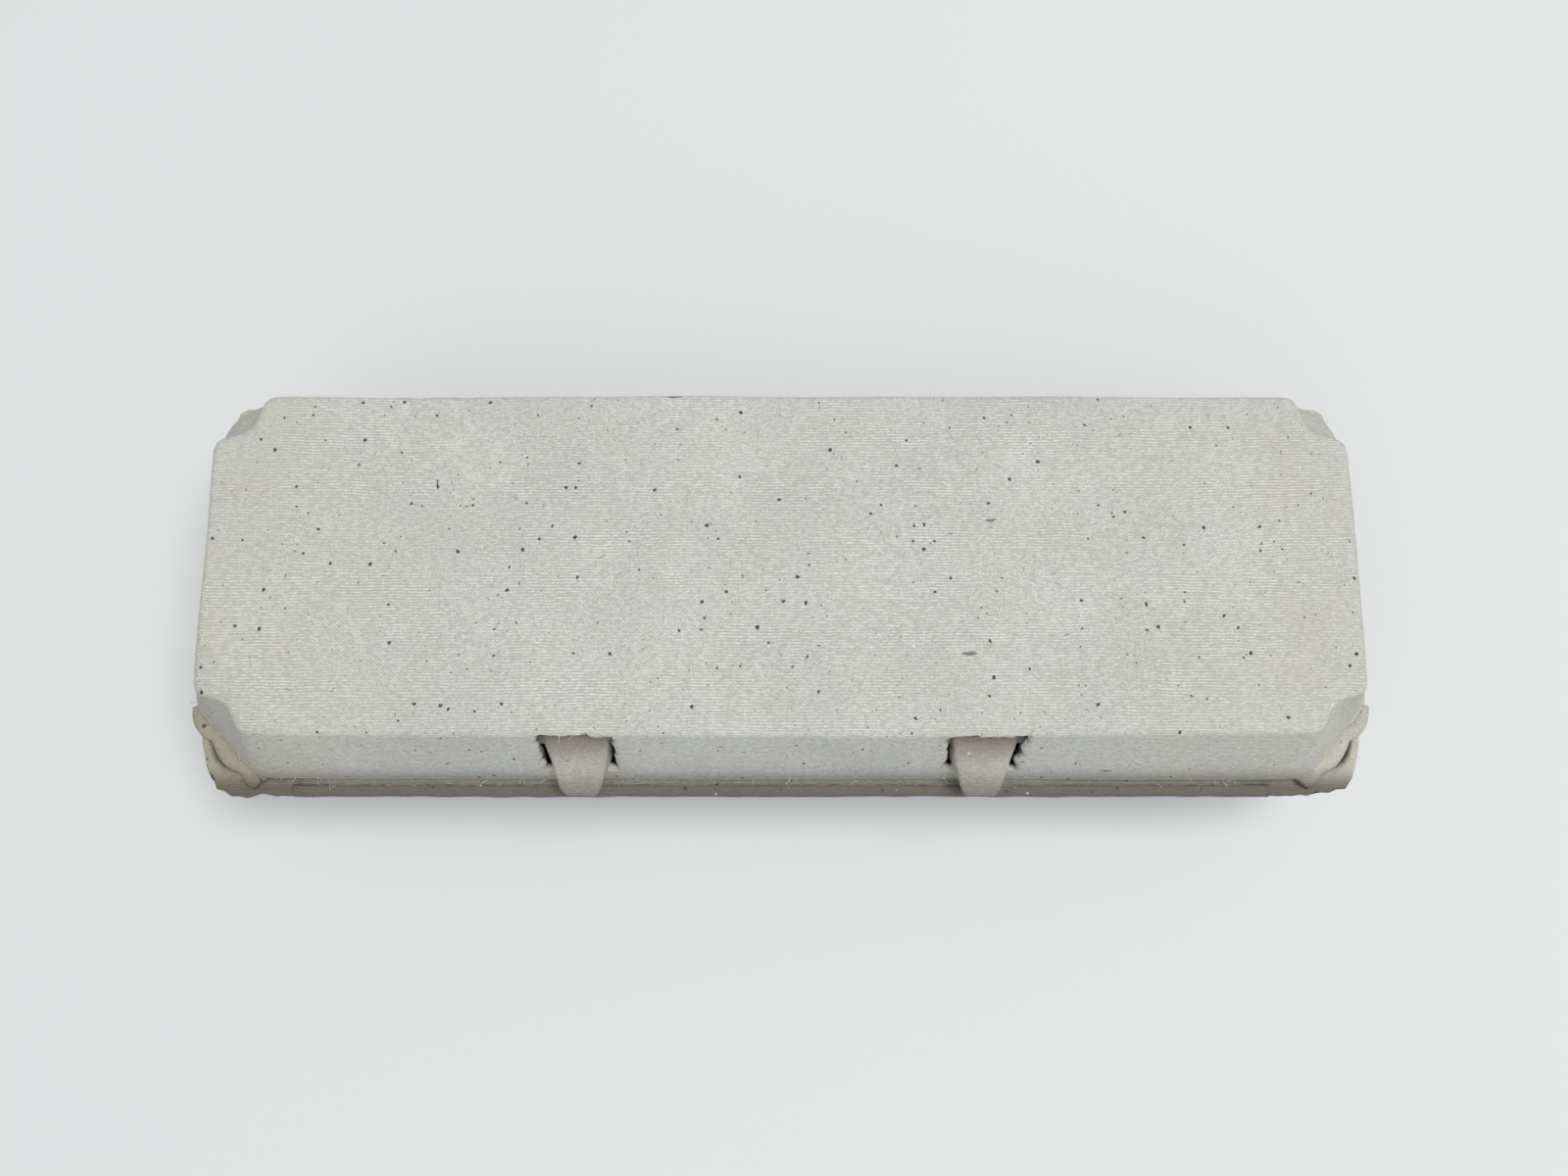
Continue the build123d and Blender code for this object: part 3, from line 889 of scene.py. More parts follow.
@dataclass
class Flap:
    """The strip along the front flange that stands up inside the lid and carries the latch bosses."""

    base: float = 41.8
    top: float = 61.5
    gap: float = 3.16
    half_length: float = 120.5
    end_slope: float = 5.0
    slot_half: float = 9.9
    opening_half: float = 7.2
    slot_top: float = 54.5
    boss_top: float = 60.0
    boss_tip: tuple[float, float] = (-52.7, 48.3)

    def face(self, height: np.ndarray | float) -> np.ndarray | float:
        """Y of the panel's outer face at a height."""
        return LID_FRONT_Y - LID_FRONT_LEAN * (LID_TOP_Z - height) + self.gap

    def sheet(self) -> bpy.types.Object:
        """The flap with its slots and the openings behind its bosses."""
        places = stations(self.half_length, self.slot_half, 1.1)
        foot, start = np.array([self.face(self.base), self.base]), self.base + 1.7
        section = [np.array([-HINGE_Y + 0.8 + 0.35 * n, self.base]) for n in range(4)]
        section += bent(np.array([foot[0] - 1.9, self.base]), foot, np.array([self.face(start), start]), 6)
        heights = [*np.linspace(start, self.slot_top, 6)[1:], *np.linspace(self.slot_top, self.top, 14)[1:]]
        section += [np.array([self.face(height), height]) for height in heights]
        rows = []
        for y, z in section:
            draw_in = self.end_slope * np.clip((z - start) / (self.top - start), 0, 1)
            x = places - np.sign(places) * draw_in * np.clip((np.abs(places) - 100) / 21, 0, 1)
            sink = 1.2 * ease((np.abs(places) - 110) / 10) * (z < self.base + 0.1)
            rows.append(np.column_stack([x, np.full(len(x), y), z - sink]))
        grid = Grid.from_rows(rows[::-1], closed=False, rag=0.4)
        middle = grid.middles()
        gone = np.zeros(len(middle), bool)
        height = middle[:, 2]
        for centre in (-CELL_PITCH, CELL_PITCH):
            off = np.abs(middle[:, 0] - centre)
            gone |= (off < self.slot_half) & (height > self.base + 0.4) & (height < self.slot_top)
            gone |= (off < self.opening_half) & (height > self.slot_top) & (height < self.boss_top - 2.2)
        sheet = Sheet("flap_shell", grid.without(gone), thickness=1.7, waviness=0.16, wave_length=22, seed=17)
        return sheet.build()

    def boss(self, side: int) -> bpy.types.Object:
        """Makes a hollow latch boss.

        Args:
            side: -1 on the left and 1 on the right.

        Returns:
            The boss.
        """
        rows = []
        ramp = [*np.linspace(0.03, 0.9, 16), 0.94, 0.97, 0.99, 1.0]
        drops = [*[0.0] * 20, 0.25, 0.5]
        for share, drop in zip([*ramp, 1.0, 1.0], drops):
            height = self.boss_top + (self.boss_tip[1] - self.boss_top) * share - drop
            root = self.face(height) + 0.5
            near_tip = max(0.0, (share - 0.9) / 0.1)
            out = self.face(self.boss_top) + (self.boss_tip[0] - self.face(self.boss_top)) * share
            out += 0.35 * near_tip**2
            wide, narrow = 8.4 - 0.9 * share, 8.3 - 3.9 * share - 0.5 * near_tip
            corners = np.array([[-wide, root], [-narrow, out], [narrow, out], [wide, root]])
            left, middle, right = (np.linspace(a, b, 5) for a, b in zip(corners, corners[1:]))
            line = smoothed(np.vstack([left[:-1], middle, right[1:]]), 1)
            rows.append(level_row(line + (side * CELL_PITCH, 0), height))
        grid = Grid.from_rows(rows, closed=False, rag=0.12)
        look = {"thickness": 1.3, "waviness": 0.12, "wave_length": 8}
        return Sheet(f"boss_{SIDES[side]}", grid, seed=21 + side, **look).build()



@dataclass
class HingeFold:
    """A half-round fold along one edge of the tray, where the pulp bends."""

    name: str
    toward: int
    height: float = 40.0
    half_length: float = 122.4
    radius: float = 2.1
    end_rise: float = 1.3
    half_turn: float = 1.9

    def sheet(self) -> bpy.types.Object:
        """The fold as one rolled strip."""
        places = np.linspace(-self.half_length, self.half_length, 204)
        rows = []
        rise = self.end_rise + 0.6 * ease((self.half_length - np.abs(places)) / 5)
        for turn in np.linspace(-self.half_turn, self.half_turn, 13):
            y = self.toward * (HINGE_Y + self.radius * math.cos(turn))
            rows.append(np.column_stack([places, 0 * places + y, self.height + rise * math.sin(turn)]))
        grid = Grid.from_rows(rows[::-1] if self.toward < 0 else rows, closed=False, rag=0.15)
        look = {"thickness": 1.5, "waviness": 0.1, "wave_length": 9}
        return Sheet(self.name, grid, seed=31 + self.toward, **look).build()


# ------------------------------------------------------------------ node trees


class NodeBench:
    """Places nodes in a tree and wires them, so that a finish reads as a list of steps."""

    def __init__(self, tree: bpy.types.NodeTree) -> None:
        """Keeps the tree that nodes go into."""
        self.tree = tree

    def add(self, kind: str, values: dict | None = None, **settings: object) -> bpy.types.Node:
        """Adds a node.

        Args:
            kind: Blender's name for the node.
            values: Input values by socket name or number; a socket as a value is wired in.
            settings: The node's own settings.

        Returns:
            The node.
        """
        node = self.tree.nodes.new(kind)
        for key, value in settings.items():
            setattr(node, key, value)
        for key, value in (values or {}).items():
            socket = node.inputs[key]
            if isinstance(value, bpy.types.NodeSocket):
                self.tree.links.new(value, socket)
            else:
                socket.default_value = value
        return node

    def math(self, operation: str, *values: object) -> bpy.types.NodeSocket:
        """The result of one sum; values may be numbers or sockets."""
        node = self.add("ShaderNodeMath", dict(enumerate(values)), operation=operation)
        return node.outputs[0]

    def vector(self, operation: str, **values: object) -> bpy.types.NodeSocket:
        """The result of one vector sum, with values for the sockets named Vector, Vector_001 and Scale."""
        node = self.add("ShaderNodeVectorMath", operation=operation)
        places = {"a": 0, "b": 1, "scale": "Scale"}
        for key, value in values.items():
            socket = node.inputs[places[key]]
            if isinstance(value, bpy.types.NodeSocket):
                self.tree.links.new(value, socket)
            else:
                socket.default_value = value
        return node.outputs[0]

    def noise(self, vector: bpy.types.NodeSocket, scale: object, detail: float = 2.0) -> bpy.types.NodeSocket:
        """A noise value at a vector; scale is in features per metre."""
        values = {"Vector": vector, "Scale": scale, "Detail": detail, "Roughness": 0.6}
        return self.add("ShaderNodeTexNoise", values).outputs["Fac"]

    def spread(self, value: object, low: object, high: object) -> bpy.types.NodeSocket:
        """0 below low, 1 above high and a smooth turn between.

        Args:
            value: What is compared.
            low: Where the result leaves 0.
            high: Where it reaches 1.

        Returns:
            The result's socket.
        """
        values = {"Value": value, "From Min": low, "From Max": high}
        node = self.add("ShaderNodeMapRange", values, interpolation_type="SMOOTHSTEP")
        return node.outputs["Result"]

    def mix(self, share: object, under: object, over: object) -> bpy.types.NodeSocket:
        """One colour laid over another by a share."""
        node = self.add("ShaderNodeMix", data_type="RGBA")
        for number, value in ((0, share), (6, under), (7, over)):
            if isinstance(value, bpy.types.NodeSocket):
                self.tree.links.new(value, node.inputs[number])
            else:
                node.inputs[number].default_value = value
        return node.outputs[2]


def new_group(
    name: str, inputs: list[tuple[str, str, object]], outputs: list[tuple[str, str]]
) -> tuple[bpy.types.NodeTree, "NodeBench", bpy.types.Node, bpy.types.Node]:
    """Starts a shader node group.

    Args:
        name: The group's name.
        inputs: Name, socket type and default of each input.
        outputs: Name and socket type of each output.

    Returns:
        The group, its bench, its input node and its output node.
    """
    group = bpy.data.node_groups.new(name, "ShaderNodeTree")
    for label, kind, default in inputs:
        socket = group.interface.new_socket(label, in_out="INPUT", socket_type=kind)
        if default is not None:
            socket.default_value = default
    for label, kind in outputs:
        group.interface.new_socket(label, in_out="OUTPUT", socket_type=kind)
    bench = NodeBench(group)
    return group, bench, bench.add("NodeGroupInput"), bench.add("NodeGroupOutput")


def screen_imprint() -> bpy.types.NodeTree:
    """Builds the group for the woven screen's imprint: level ribs broken into dashes, and a faint twill."""
    inputs = [("Vector", "NodeSocketVector", None), ("Pitch mm", "NodeSocketFloat", 0.62)]
    inputs.append(("Wander", "NodeSocketFloat", 0.6))
    group, bench, given, result = new_group("screen imprint", inputs, [("Height", "NodeSocketFloat")])
    spot = given.outputs["Vector"]
    drift = bench.add("ShaderNodeTexNoise", {"Vector": spot, "Scale": 120.0, "Detail": 1.0}).outputs["Color"]
    drift = bench.vector("SCALE", a=drift, scale=bench.math("MULTIPLY", given.outputs["Wander"], MM))
    turns = bench.math("DIVIDE", 2 * math.pi / MM, given.outputs["Pitch mm"])
    moved = bench.vector("SCALE", a=bench.vector("ADD", a=spot, b=drift), scale=turns)
    x, y, z = bench.add("ShaderNodeSeparateXYZ", {0: moved}).outputs
    down = bench.math("SUBTRACT", bench.math("MULTIPLY", z, 0.75), bench.math("ABSOLUTE", y))
    ribs = bench.math("MULTIPLY_ADD", bench.math("SINE", down), 0.5, 0.5)
    twill = bench.math("SINE", bench.math("MULTIPLY_ADD", x, 0.75, bench.math("MULTIPLY", down, 0.8)))
    twill = bench.math("MULTIPLY_ADD", twill, 0.5, 0.5)
    dashes = bench.vector("MULTIPLY", a=spot, b=(620.0, 1500.0, 1500.0))
    dashes = bench.spread(bench.noise(dashes, 1.0, 1.0), 0.36, 0.62)
    dashes = bench.math("MULTIPLY_ADD", dashes, 0.75, 0.25)
    patch = bench.math("MULTIPLY", bench.spread(bench.noise(spot, 45.0), 0.42, 0.62), 0.7)
    twill = bench.math("MULTIPLY", twill, dashes)
    woven = bench.add(
        "ShaderNodeMix", {"Factor": patch, "A": bench.math("MULTIPLY", ribs, dashes), "B": twill}
    )
    faint = bench.math("MULTIPLY_ADD", bench.spread(bench.noise(spot, 38.0), 0.3, 0.7), 0.2, 0.8)
    bench.tree.links.new(bench.math("MULTIPLY", woven.outputs[0], faint), result.inputs["Height"])
    return group


def pulp_relief() -> bpy.types.NodeTree:
    """Builds the group for the lumps and felted fibres of a pulp surface."""
    inputs = [("Vector", "NodeSocketVector", None), ("Lump mm", "NodeSocketFloat", 3.5)]
    inputs.append(("Fibre mm", "NodeSocketFloat", 0.45))
    group, bench, given, result = new_group("pulp relief", inputs, [("Height", "NodeSocketFloat")])
    spot = given.outputs["Vector"]
    lumps = bench.noise(spot, bench.math("DIVIDE", 1 / MM, given.outputs["Lump mm"]), 3.0)
    felt = bench.noise(spot, bench.math("DIVIDE", 1 / MM, given.outputs["Fibre mm"]), 2.0)
    height = bench.math("ADD", bench.math("MULTIPLY", lumps, 0.62), bench.math("MULTIPLY", felt, 0.38))
    bench.tree.links.new(height, result.inputs["Height"])
    return group


def stains() -> bpy.types.NodeTree:
    """Builds the group of masks: painted shade along the front rim, the yellowed ends, a brown tint with
    painted shade at the left-front corner, and painted shade on the flap's top and its bosses.
    """
    inputs = [("Vector", "NodeSocketVector", None)]
    outputs = [("Rim shade", "NodeSocketFloat"), ("Ends", "NodeSocketFloat"), ("Corner", "NodeSocketFloat")]
    outputs.append(("Boss top shade", "NodeSocketFloat"))
    group, bench, given, result = new_group("stains", inputs, outputs)
    x, y, z = bench.add("ShaderNodeSeparateXYZ", {0: given.outputs["Vector"]}).outputs
    ahead_raw = bench.math("MULTIPLY", y, -1.0)
    ahead = bench.spread(ahead_raw, 44.2 * MM, 50.8 * MM)
    below = bench.spread(bench.math("MULTIPLY", z, -1.0), -60.0 * MM, -42.5 * MM)
    ends = bench.spread(bench.math("ABSOLUTE", x), 65.0 * MM, 137.0 * MM)
    uneven = bench.spread(bench.noise(given.outputs["Vector"], 70.0), 0.3, 0.7)
    # Rim: painted shade, darker towards the bottom of the front wall and over the front fold and flange.
    bench.tree.links.new(bench.math("MULTIPLY", ahead, below), result.inputs["Rim shade"])
    bench.tree.links.new(bench.math("MULTIPLY", ends, uneven), result.inputs["Ends"])
    # Corner: brown tint with painted shade, strongest at the left-front corner.
    corner = bench.spread(
        bench.math("MULTIPLY_ADD", y, -0.7, bench.math("MULTIPLY", x, -1.0)), 140.0 * MM, 168.0 * MM
    )
    bench.tree.links.new(corner, result.inputs["Corner"])
    # Boss top: painted shade under the lid's edge, over the flap's top and the upper part of the bosses.
    high = bench.math(
        "MULTIPLY", bench.spread(z, 53.0 * MM, 59.0 * MM), bench.spread(ahead_raw, 33.0 * MM, 35.0 * MM)
    )
    bench.tree.links.new(high, result.inputs["Boss top shade"])
    return group


def flecks() -> bpy.types.NodeTree:
    """Builds the group that scatters flecks of foreign matter through the pulp."""
    inputs = [("Vector", "NodeSocketVector", None), ("Spacing mm", "NodeSocketFloat", 5.0)]
    inputs += [("Size", "NodeSocketFloat", 0.12), ("Share", "NodeSocketFloat", 0.5)]
    inputs.append(("Stretch", "NodeSocketVector", (1.0, 1.0, 1.0)))
    group, bench, given, result = new_group("pulp flecks", inputs, [("Mask", "NodeSocketFloat")])
    spot = given.outputs["Vector"]
    bent = bench.add("ShaderNodeTexNoise", {"Vector": spot, "Scale": 700.0, "Detail": 2.0}).outputs["Color"]
    spot = bench.vector("ADD", a=spot, b=bench.vector("SCALE", a=bent, scale=0.0011))
    spot = bench.vector("MULTIPLY", a=spot, b=given.outputs["Stretch"])
    scale = bench.math("DIVIDE", 1 / MM, given.outputs["Spacing mm"])
    cells = bench.add("ShaderNodeTexVoronoi", {"Vector": spot, "Scale": scale})
    chance = bench.add("ShaderNodeSeparateColor", {0: cells.outputs["Color"]})
    size = bench.math(
        "MULTIPLY", given.outputs["Size"], bench.math("MULTIPLY_ADD", chance.outputs[1], 0.9, 0.3)
    )
    inside = bench.math(
        "SUBTRACT", 1.0, bench.spread(cells.outputs["Distance"], bench.math("MULTIPLY", size, 0.7), size)
    )
    there = bench.math("LESS_THAN", chance.outputs[0], given.outputs["Share"])
    bench.tree.links.new(bench.math("MULTIPLY", inside, there), result.inputs["Mask"])
    return group


class Groups:
    """The shared effects, each built once."""

    def __init__(self) -> None:
        """Builds the groups."""
        self.imprint = screen_imprint()
        self.relief = pulp_relief()
        self.flecks = flecks()
        self.stains = stains()


@dataclass(frozen=True)
class PulpFinish:
    """Grey recycled pulp.

    Attributes:
        name: The material's name.
        pale: Colour of its lighter patches.
        deep: Colour of its darker patches.
        warm: Tint of raw edges.
        rim_shade_colour: Colour of the painted shade along the bottom of the front wall and over the front
            fold and flange.
        brown: Colour laid over the left-front corner, a brown tint that also paints the shade of the lid over
            the ledge there.
        imprint: Depth of the screen's imprint, in millimetres.
        relief: Depth of the lumps, in millimetres.
        corner_tint_and_shade: How strongly that corner is browned and darkened, a brown tint with painted
            shade.
        hollow_shade: How much darker the hollows of the imprint are painted, a painted shade in the hollows.
        rust: How strongly the tops of the bosses are reddened and darkened, a reddish tint with painted shade
            under the lid's edge.
        edge_share: How strongly raw edges take the warm tint.
    """

    name: str
    pale: tuple[float, float, float, float]
    deep: tuple[float, float, float, float]
    warm: tuple[float, float, float, float]
    # Painted shade colour for the bottom of the front wall and the front fold and flange.
    rim_shade_colour: tuple[float, float, float, float] = (0.138, 0.125, 0.096, 1)
    brown: tuple[float, float, float, float] = (0.29, 0.25, 0.17, 1)
    imprint: float = 0.075
    relief: float = 0.12
    corner_tint_and_shade: float = 0.25
    hollow_shade: float = 0.44
    rust: float = 0.0
    edge_share: float = 0.5

    def build(self, groups: Groups) -> bpy.types.Material:
        """Makes the material.

        Args:
            groups: The shared effects.

        Returns:
            The material.
        """
        material = bpy.data.materials.new(self.name)
        material.use_nodes = True
        material.node_tree.nodes.clear()
        bench = NodeBench(material.node_tree)
        spot = bench.add("ShaderNodeTexCoord").outputs["Object"]
        mottle = bench.math("MULTIPLY", bench.noise(spot, 30.0, 2.0), 0.2)
        grain = bench.math("MULTIPLY", bench.noise(spot, 1700.0, 3.0), 0.8)
        patch = bench.spread(bench.math("ADD", mottle, grain), 0.33, 0.67)
        colour = bench.mix(patch, self.deep, self.pale)
        edge = bench.add("ShaderNodeAttribute", attribute_name="raw_edge").outputs["Fac"]
        wear = bench.math("MULTIPLY", edge, bench.spread(bench.noise(spot, 400.0), 0.2, 0.75))
        colour = bench.mix(bench.math("MULTIPLY", wear, self.edge_share), colour, self.warm)
        stain = bench.add("ShaderNodeGroup", node_tree=groups.stains)
        bench.tree.links.new(spot, stain.inputs["Vector"])
        colour = bench.mix(bench.math("MULTIPLY", stain.outputs["Ends"], 0.6), colour, self.warm)
        # Browns and darkens the left-front corner: a brown tint with painted shade of the lid over the ledge.
        colour = bench.mix(bench.math("MULTIPLY", stain.outputs["Corner"], self.corner_tint_and_shade), colour, self.brown)
        # Painted shade along the bottom of the front wall and over the front fold and flange.
        colour = bench.mix(bench.math("MULTIPLY", stain.outputs["Rim shade"], 0.93), colour, self.rim_shade_colour)
        # Painted shade under the lid's edge on the flap's top and the bosses' tops, with a reddish tint.
        colour = bench.mix(
            bench.math("MULTIPLY", stain.outputs["Boss top shade"], self.rust), colour, (0.2, 0.13, 0.1, 1)
        )
        for spacing, size, share, stretch, shade in self.fleck_plan():
            values = {"Vector": spot, "Spacing mm": spacing, "Size": size, "Share": share, "Stretch": stretch}
            node = bench.add("ShaderNodeGroup", node_tree=groups.flecks)
            for key, value in values.items():
                if isinstance(value, bpy.types.NodeSocket):
                    bench.tree.links.new(value, node.inputs[key])
                else:
                    node.inputs[key].default_value = value
            colour = bench.mix(node.outputs["Mask"], colour, shade)
        mesh = bench.add("ShaderNodeGroup", node_tree=groups.imprint)
        mesh.inputs["Pitch mm"].default_value = 0.72
        mesh.inputs["Wander"].default_value = 0.6
        lumps = bench.add("ShaderNodeGroup", node_tree=groups.relief)
        lumps.inputs["Lump mm"].default_value = 3.4
        lumps.inputs["Fibre mm"].default_value = 0.42
        for node in (mesh, lumps):
            bench.tree.links.new(spot, node.inputs["Vector"])
        # Painted shade: the colour is darkened in the imprint's hollows.
        hollow = bench.math("MULTIPLY_ADD", mesh.outputs["Height"], self.hollow_shade, 1.0 - 0.42 * self.hollow_shade)
        shade = bench.add("ShaderNodeVectorMath", {0: colour}, operation="SCALE")
        bench.tree.links.new(hollow, shade.inputs["Scale"])
        height = bench.math("MULTIPLY", mesh.outputs["Height"], self.imprint)
        height = bench.math("ADD", height, bench.math("MULTIPLY", lumps.outputs["Height"], self.relief))
        bump = bench.add("ShaderNodeBump", {"Height": height, "Distance": MM, "Strength": 1.0})
        values = {"Base Color": shade.outputs[0], "Roughness": 0.93, "Normal": bump.outputs[0]}
        values["Specular IOR Level"] = 0.18
        shader = bench.add("ShaderNodeBsdfPrincipled", values)
        bench.add("ShaderNodeOutputMaterial", {"Surface": shader.outputs[0]})
        return material

    def fleck_plan(self) -> list[tuple]:
        """Spacing, size, share, stretch and colour of each kind of fleck."""
        dark, brown, white = (0.09, 0.085, 0.08, 1), (0.25, 0.22, 0.18, 1), (0.74, 0.75, 0.73, 1)
        blue, olive, rust = (0.16, 0.21, 0.27, 1), (0.2, 0.21, 0.12, 1), (0.34, 0.17, 0.12, 1)
        round_fleck = (1.0, 1.0, 1.0)
        return [
            (3.1, 0.16, 0.5, round_fleck, dark),
            (1.9, 0.15, 0.45, round_fleck, brown),
            (3.4, 0.09, 0.45, round_fleck, white),
            (9.0, 0.06, 0.5, (0.25, 1.0, 1.0), brown),
            (11.0, 0.05, 0.5, (1.0, 0.22, 1.0), dark),
            (24.0, 0.032, 0.3, round_fleck, blue),
            (29.0, 0.03, 0.3, round_fleck, rust),
            (35.0, 0.018, 0.3, round_fleck, olive),
        ]


@dataclass(frozen=True)
class FibreFinish:
    """Loose paper fibres that stand off the surface."""

    name: str
    colour: tuple[float, float, float, float]

    def build(self) -> bpy.types.Material:
        """Makes the material, a little uneven along each fibre."""
        material = bpy.data.materials.new(self.name)
        material.use_nodes = True
        material.node_tree.nodes.clear()
        bench = NodeBench(material.node_tree)
        spot = bench.add("ShaderNodeTexCoord").outputs["Object"]
        darker = tuple(c * 0.6 for c in self.colour[:3]) + (1.0,)
        colour = bench.mix(bench.spread(bench.noise(spot, 300.0), 0.35, 0.65), darker, self.colour)
        values = {"Base Color": colour, "Roughness": 0.9, "Specular IOR Level": 0.15}
        shader = bench.add("ShaderNodeBsdfPrincipled", values)
        bench.add("ShaderNodeOutputMaterial", {"Surface": shader.outputs[0]})
        return material


@dataclass(frozen=True)
class FloorFinish:
    """The plain pale surface that the carton lies on."""

    colour: tuple[float, float, float, float] = (0.735, 0.75, 0.75, 1.0)

    def build(self) -> bpy.types.Material:
        """Makes the material."""
        material = bpy.data.materials.new("pale floor")
        material.use_nodes = True
        shader = material.node_tree.nodes["Principled BSDF"]
        shader.inputs["Base Color"].default_value = self.colour
        shader.inputs["Roughness"].default_value = 0.95
        shader.inputs["Specular IOR Level"].default_value = 0.1
        return material


# ------------------------------------------------------------------ repeated pieces


def set_input(modifier: bpy.types.Modifier, label: str, value: object) -> None:
    """Sets a tree's named input on its modifier.

    Args:
        modifier: The modifier that runs the tree.
        label: The input's name.
        value: Its value.
    """
    for item in modifier.node_group.interface.items_tree:
        if item.item_type == "SOCKET" and item.in_out == "INPUT" and item.name == label:
            modifier[item.identifier] = value
            return
    raise KeyError(label)


def settle(obj: bpy.types.Object, name: str) -> bpy.types.Object:
    """Turns an object's live result into a plain mesh object.

    Args:
        obj: The object with its modifier.
        name: The finished piece's name.

    Returns:
        The finished piece; the first object is gone.
    """
    live = obj.evaluated_get(bpy.context.evaluated_depsgraph_get())
    mesh = bpy.data.meshes.new_from_object(live)
    mesh.name = name
    obj.modifiers.clear()
    bpy.data.objects.remove(obj)
    piece = bpy.data.objects.new(name, mesh)
    bpy.context.scene.collection.objects.link(piece)
    return piece


def geometry_tree(
    name: str, inputs: list[tuple[str, str, object]]
) -> tuple[bpy.types.NodeTree, "NodeBench", bpy.types.Node, bpy.types.Node]:
    """Starts a geometry tree with named inputs; gives the tree, its bench, and its ends."""
    tree = bpy.data.node_groups.new(name, "GeometryNodeTree")
    for label, kind, default in inputs:
        socket = tree.interface.new_socket(label, in_out="INPUT", socket_type=kind)
        if default is not None:
            socket.default_value = default
    tree.interface.new_socket("Geometry", in_out="OUTPUT", socket_type="NodeSocketGeometry")
    bench = NodeBench(tree)
    return tree, bench, bench.add("NodeGroupInput"), bench.add("NodeGroupOutput")


def post_row_tree() -> bpy.types.NodeTree:
    """A row of posts along X, each turned by a random number of quarter turns."""
    inputs = [("Post", "NodeSocketObject", None), ("Count", "NodeSocketInt", 5)]
    inputs += [("Spacing", "NodeSocketFloat", 0.05), ("Seed", "NodeSocketInt", 1)]
    inputs.append(("Finish", "NodeSocketMaterial", None))
    tree, bench, given, result = geometry_tree("post row", inputs)
    gaps = bench.math("SUBTRACT", given.outputs["Count"], 1)
    start = bench.math("MULTIPLY", bench.math("MULTIPLY", gaps, given.outputs["Spacing"]), -0.5)
    first = bench.add("ShaderNodeCombineXYZ", {"X": start}).outputs[0]
    step = bench.add("ShaderNodeCombineXYZ", {"X": given.outputs["Spacing"]}).outputs[0]
    values = {"Count": given.outputs["Count"], "Start Location": first, "Offset": step}
    line = bench.add("GeometryNodeMeshLine", values)
    post = bench.add("GeometryNodeObjectInfo", {"Object": given.outputs["Post"]}).outputs["Geometry"]
    quarter = bench.add("FunctionNodeRandomValue", data_type="INT")
    quarter.inputs[4].default_value = 0
    quarter.inputs[5].default_value = 3
    tree.links.new(given.outputs["Seed"], quarter.inputs["Seed"])
    turn = bench.math("MULTIPLY", quarter.outputs[2], math.pi / 2)
    turned = bench.add("ShaderNodeCombineXYZ", {"Z": turn}).outputs[0]
    placed = bench.add("GeometryNodeInstanceOnPoints", {"Points": line.outputs[0], "Instance": post})
    tree.links.new(turned, placed.inputs["Rotation"])
    real = bench.add("GeometryNodeRealizeInstances", {"Geometry": placed.outputs[0]}).outputs[0]
    dressed = bench.add("GeometryNodeSetMaterial", {"Geometry": real, "Material": given.outputs["Finish"]})
    tree.links.new(dressed.outputs[0], result.inputs["Geometry"])
    return tree


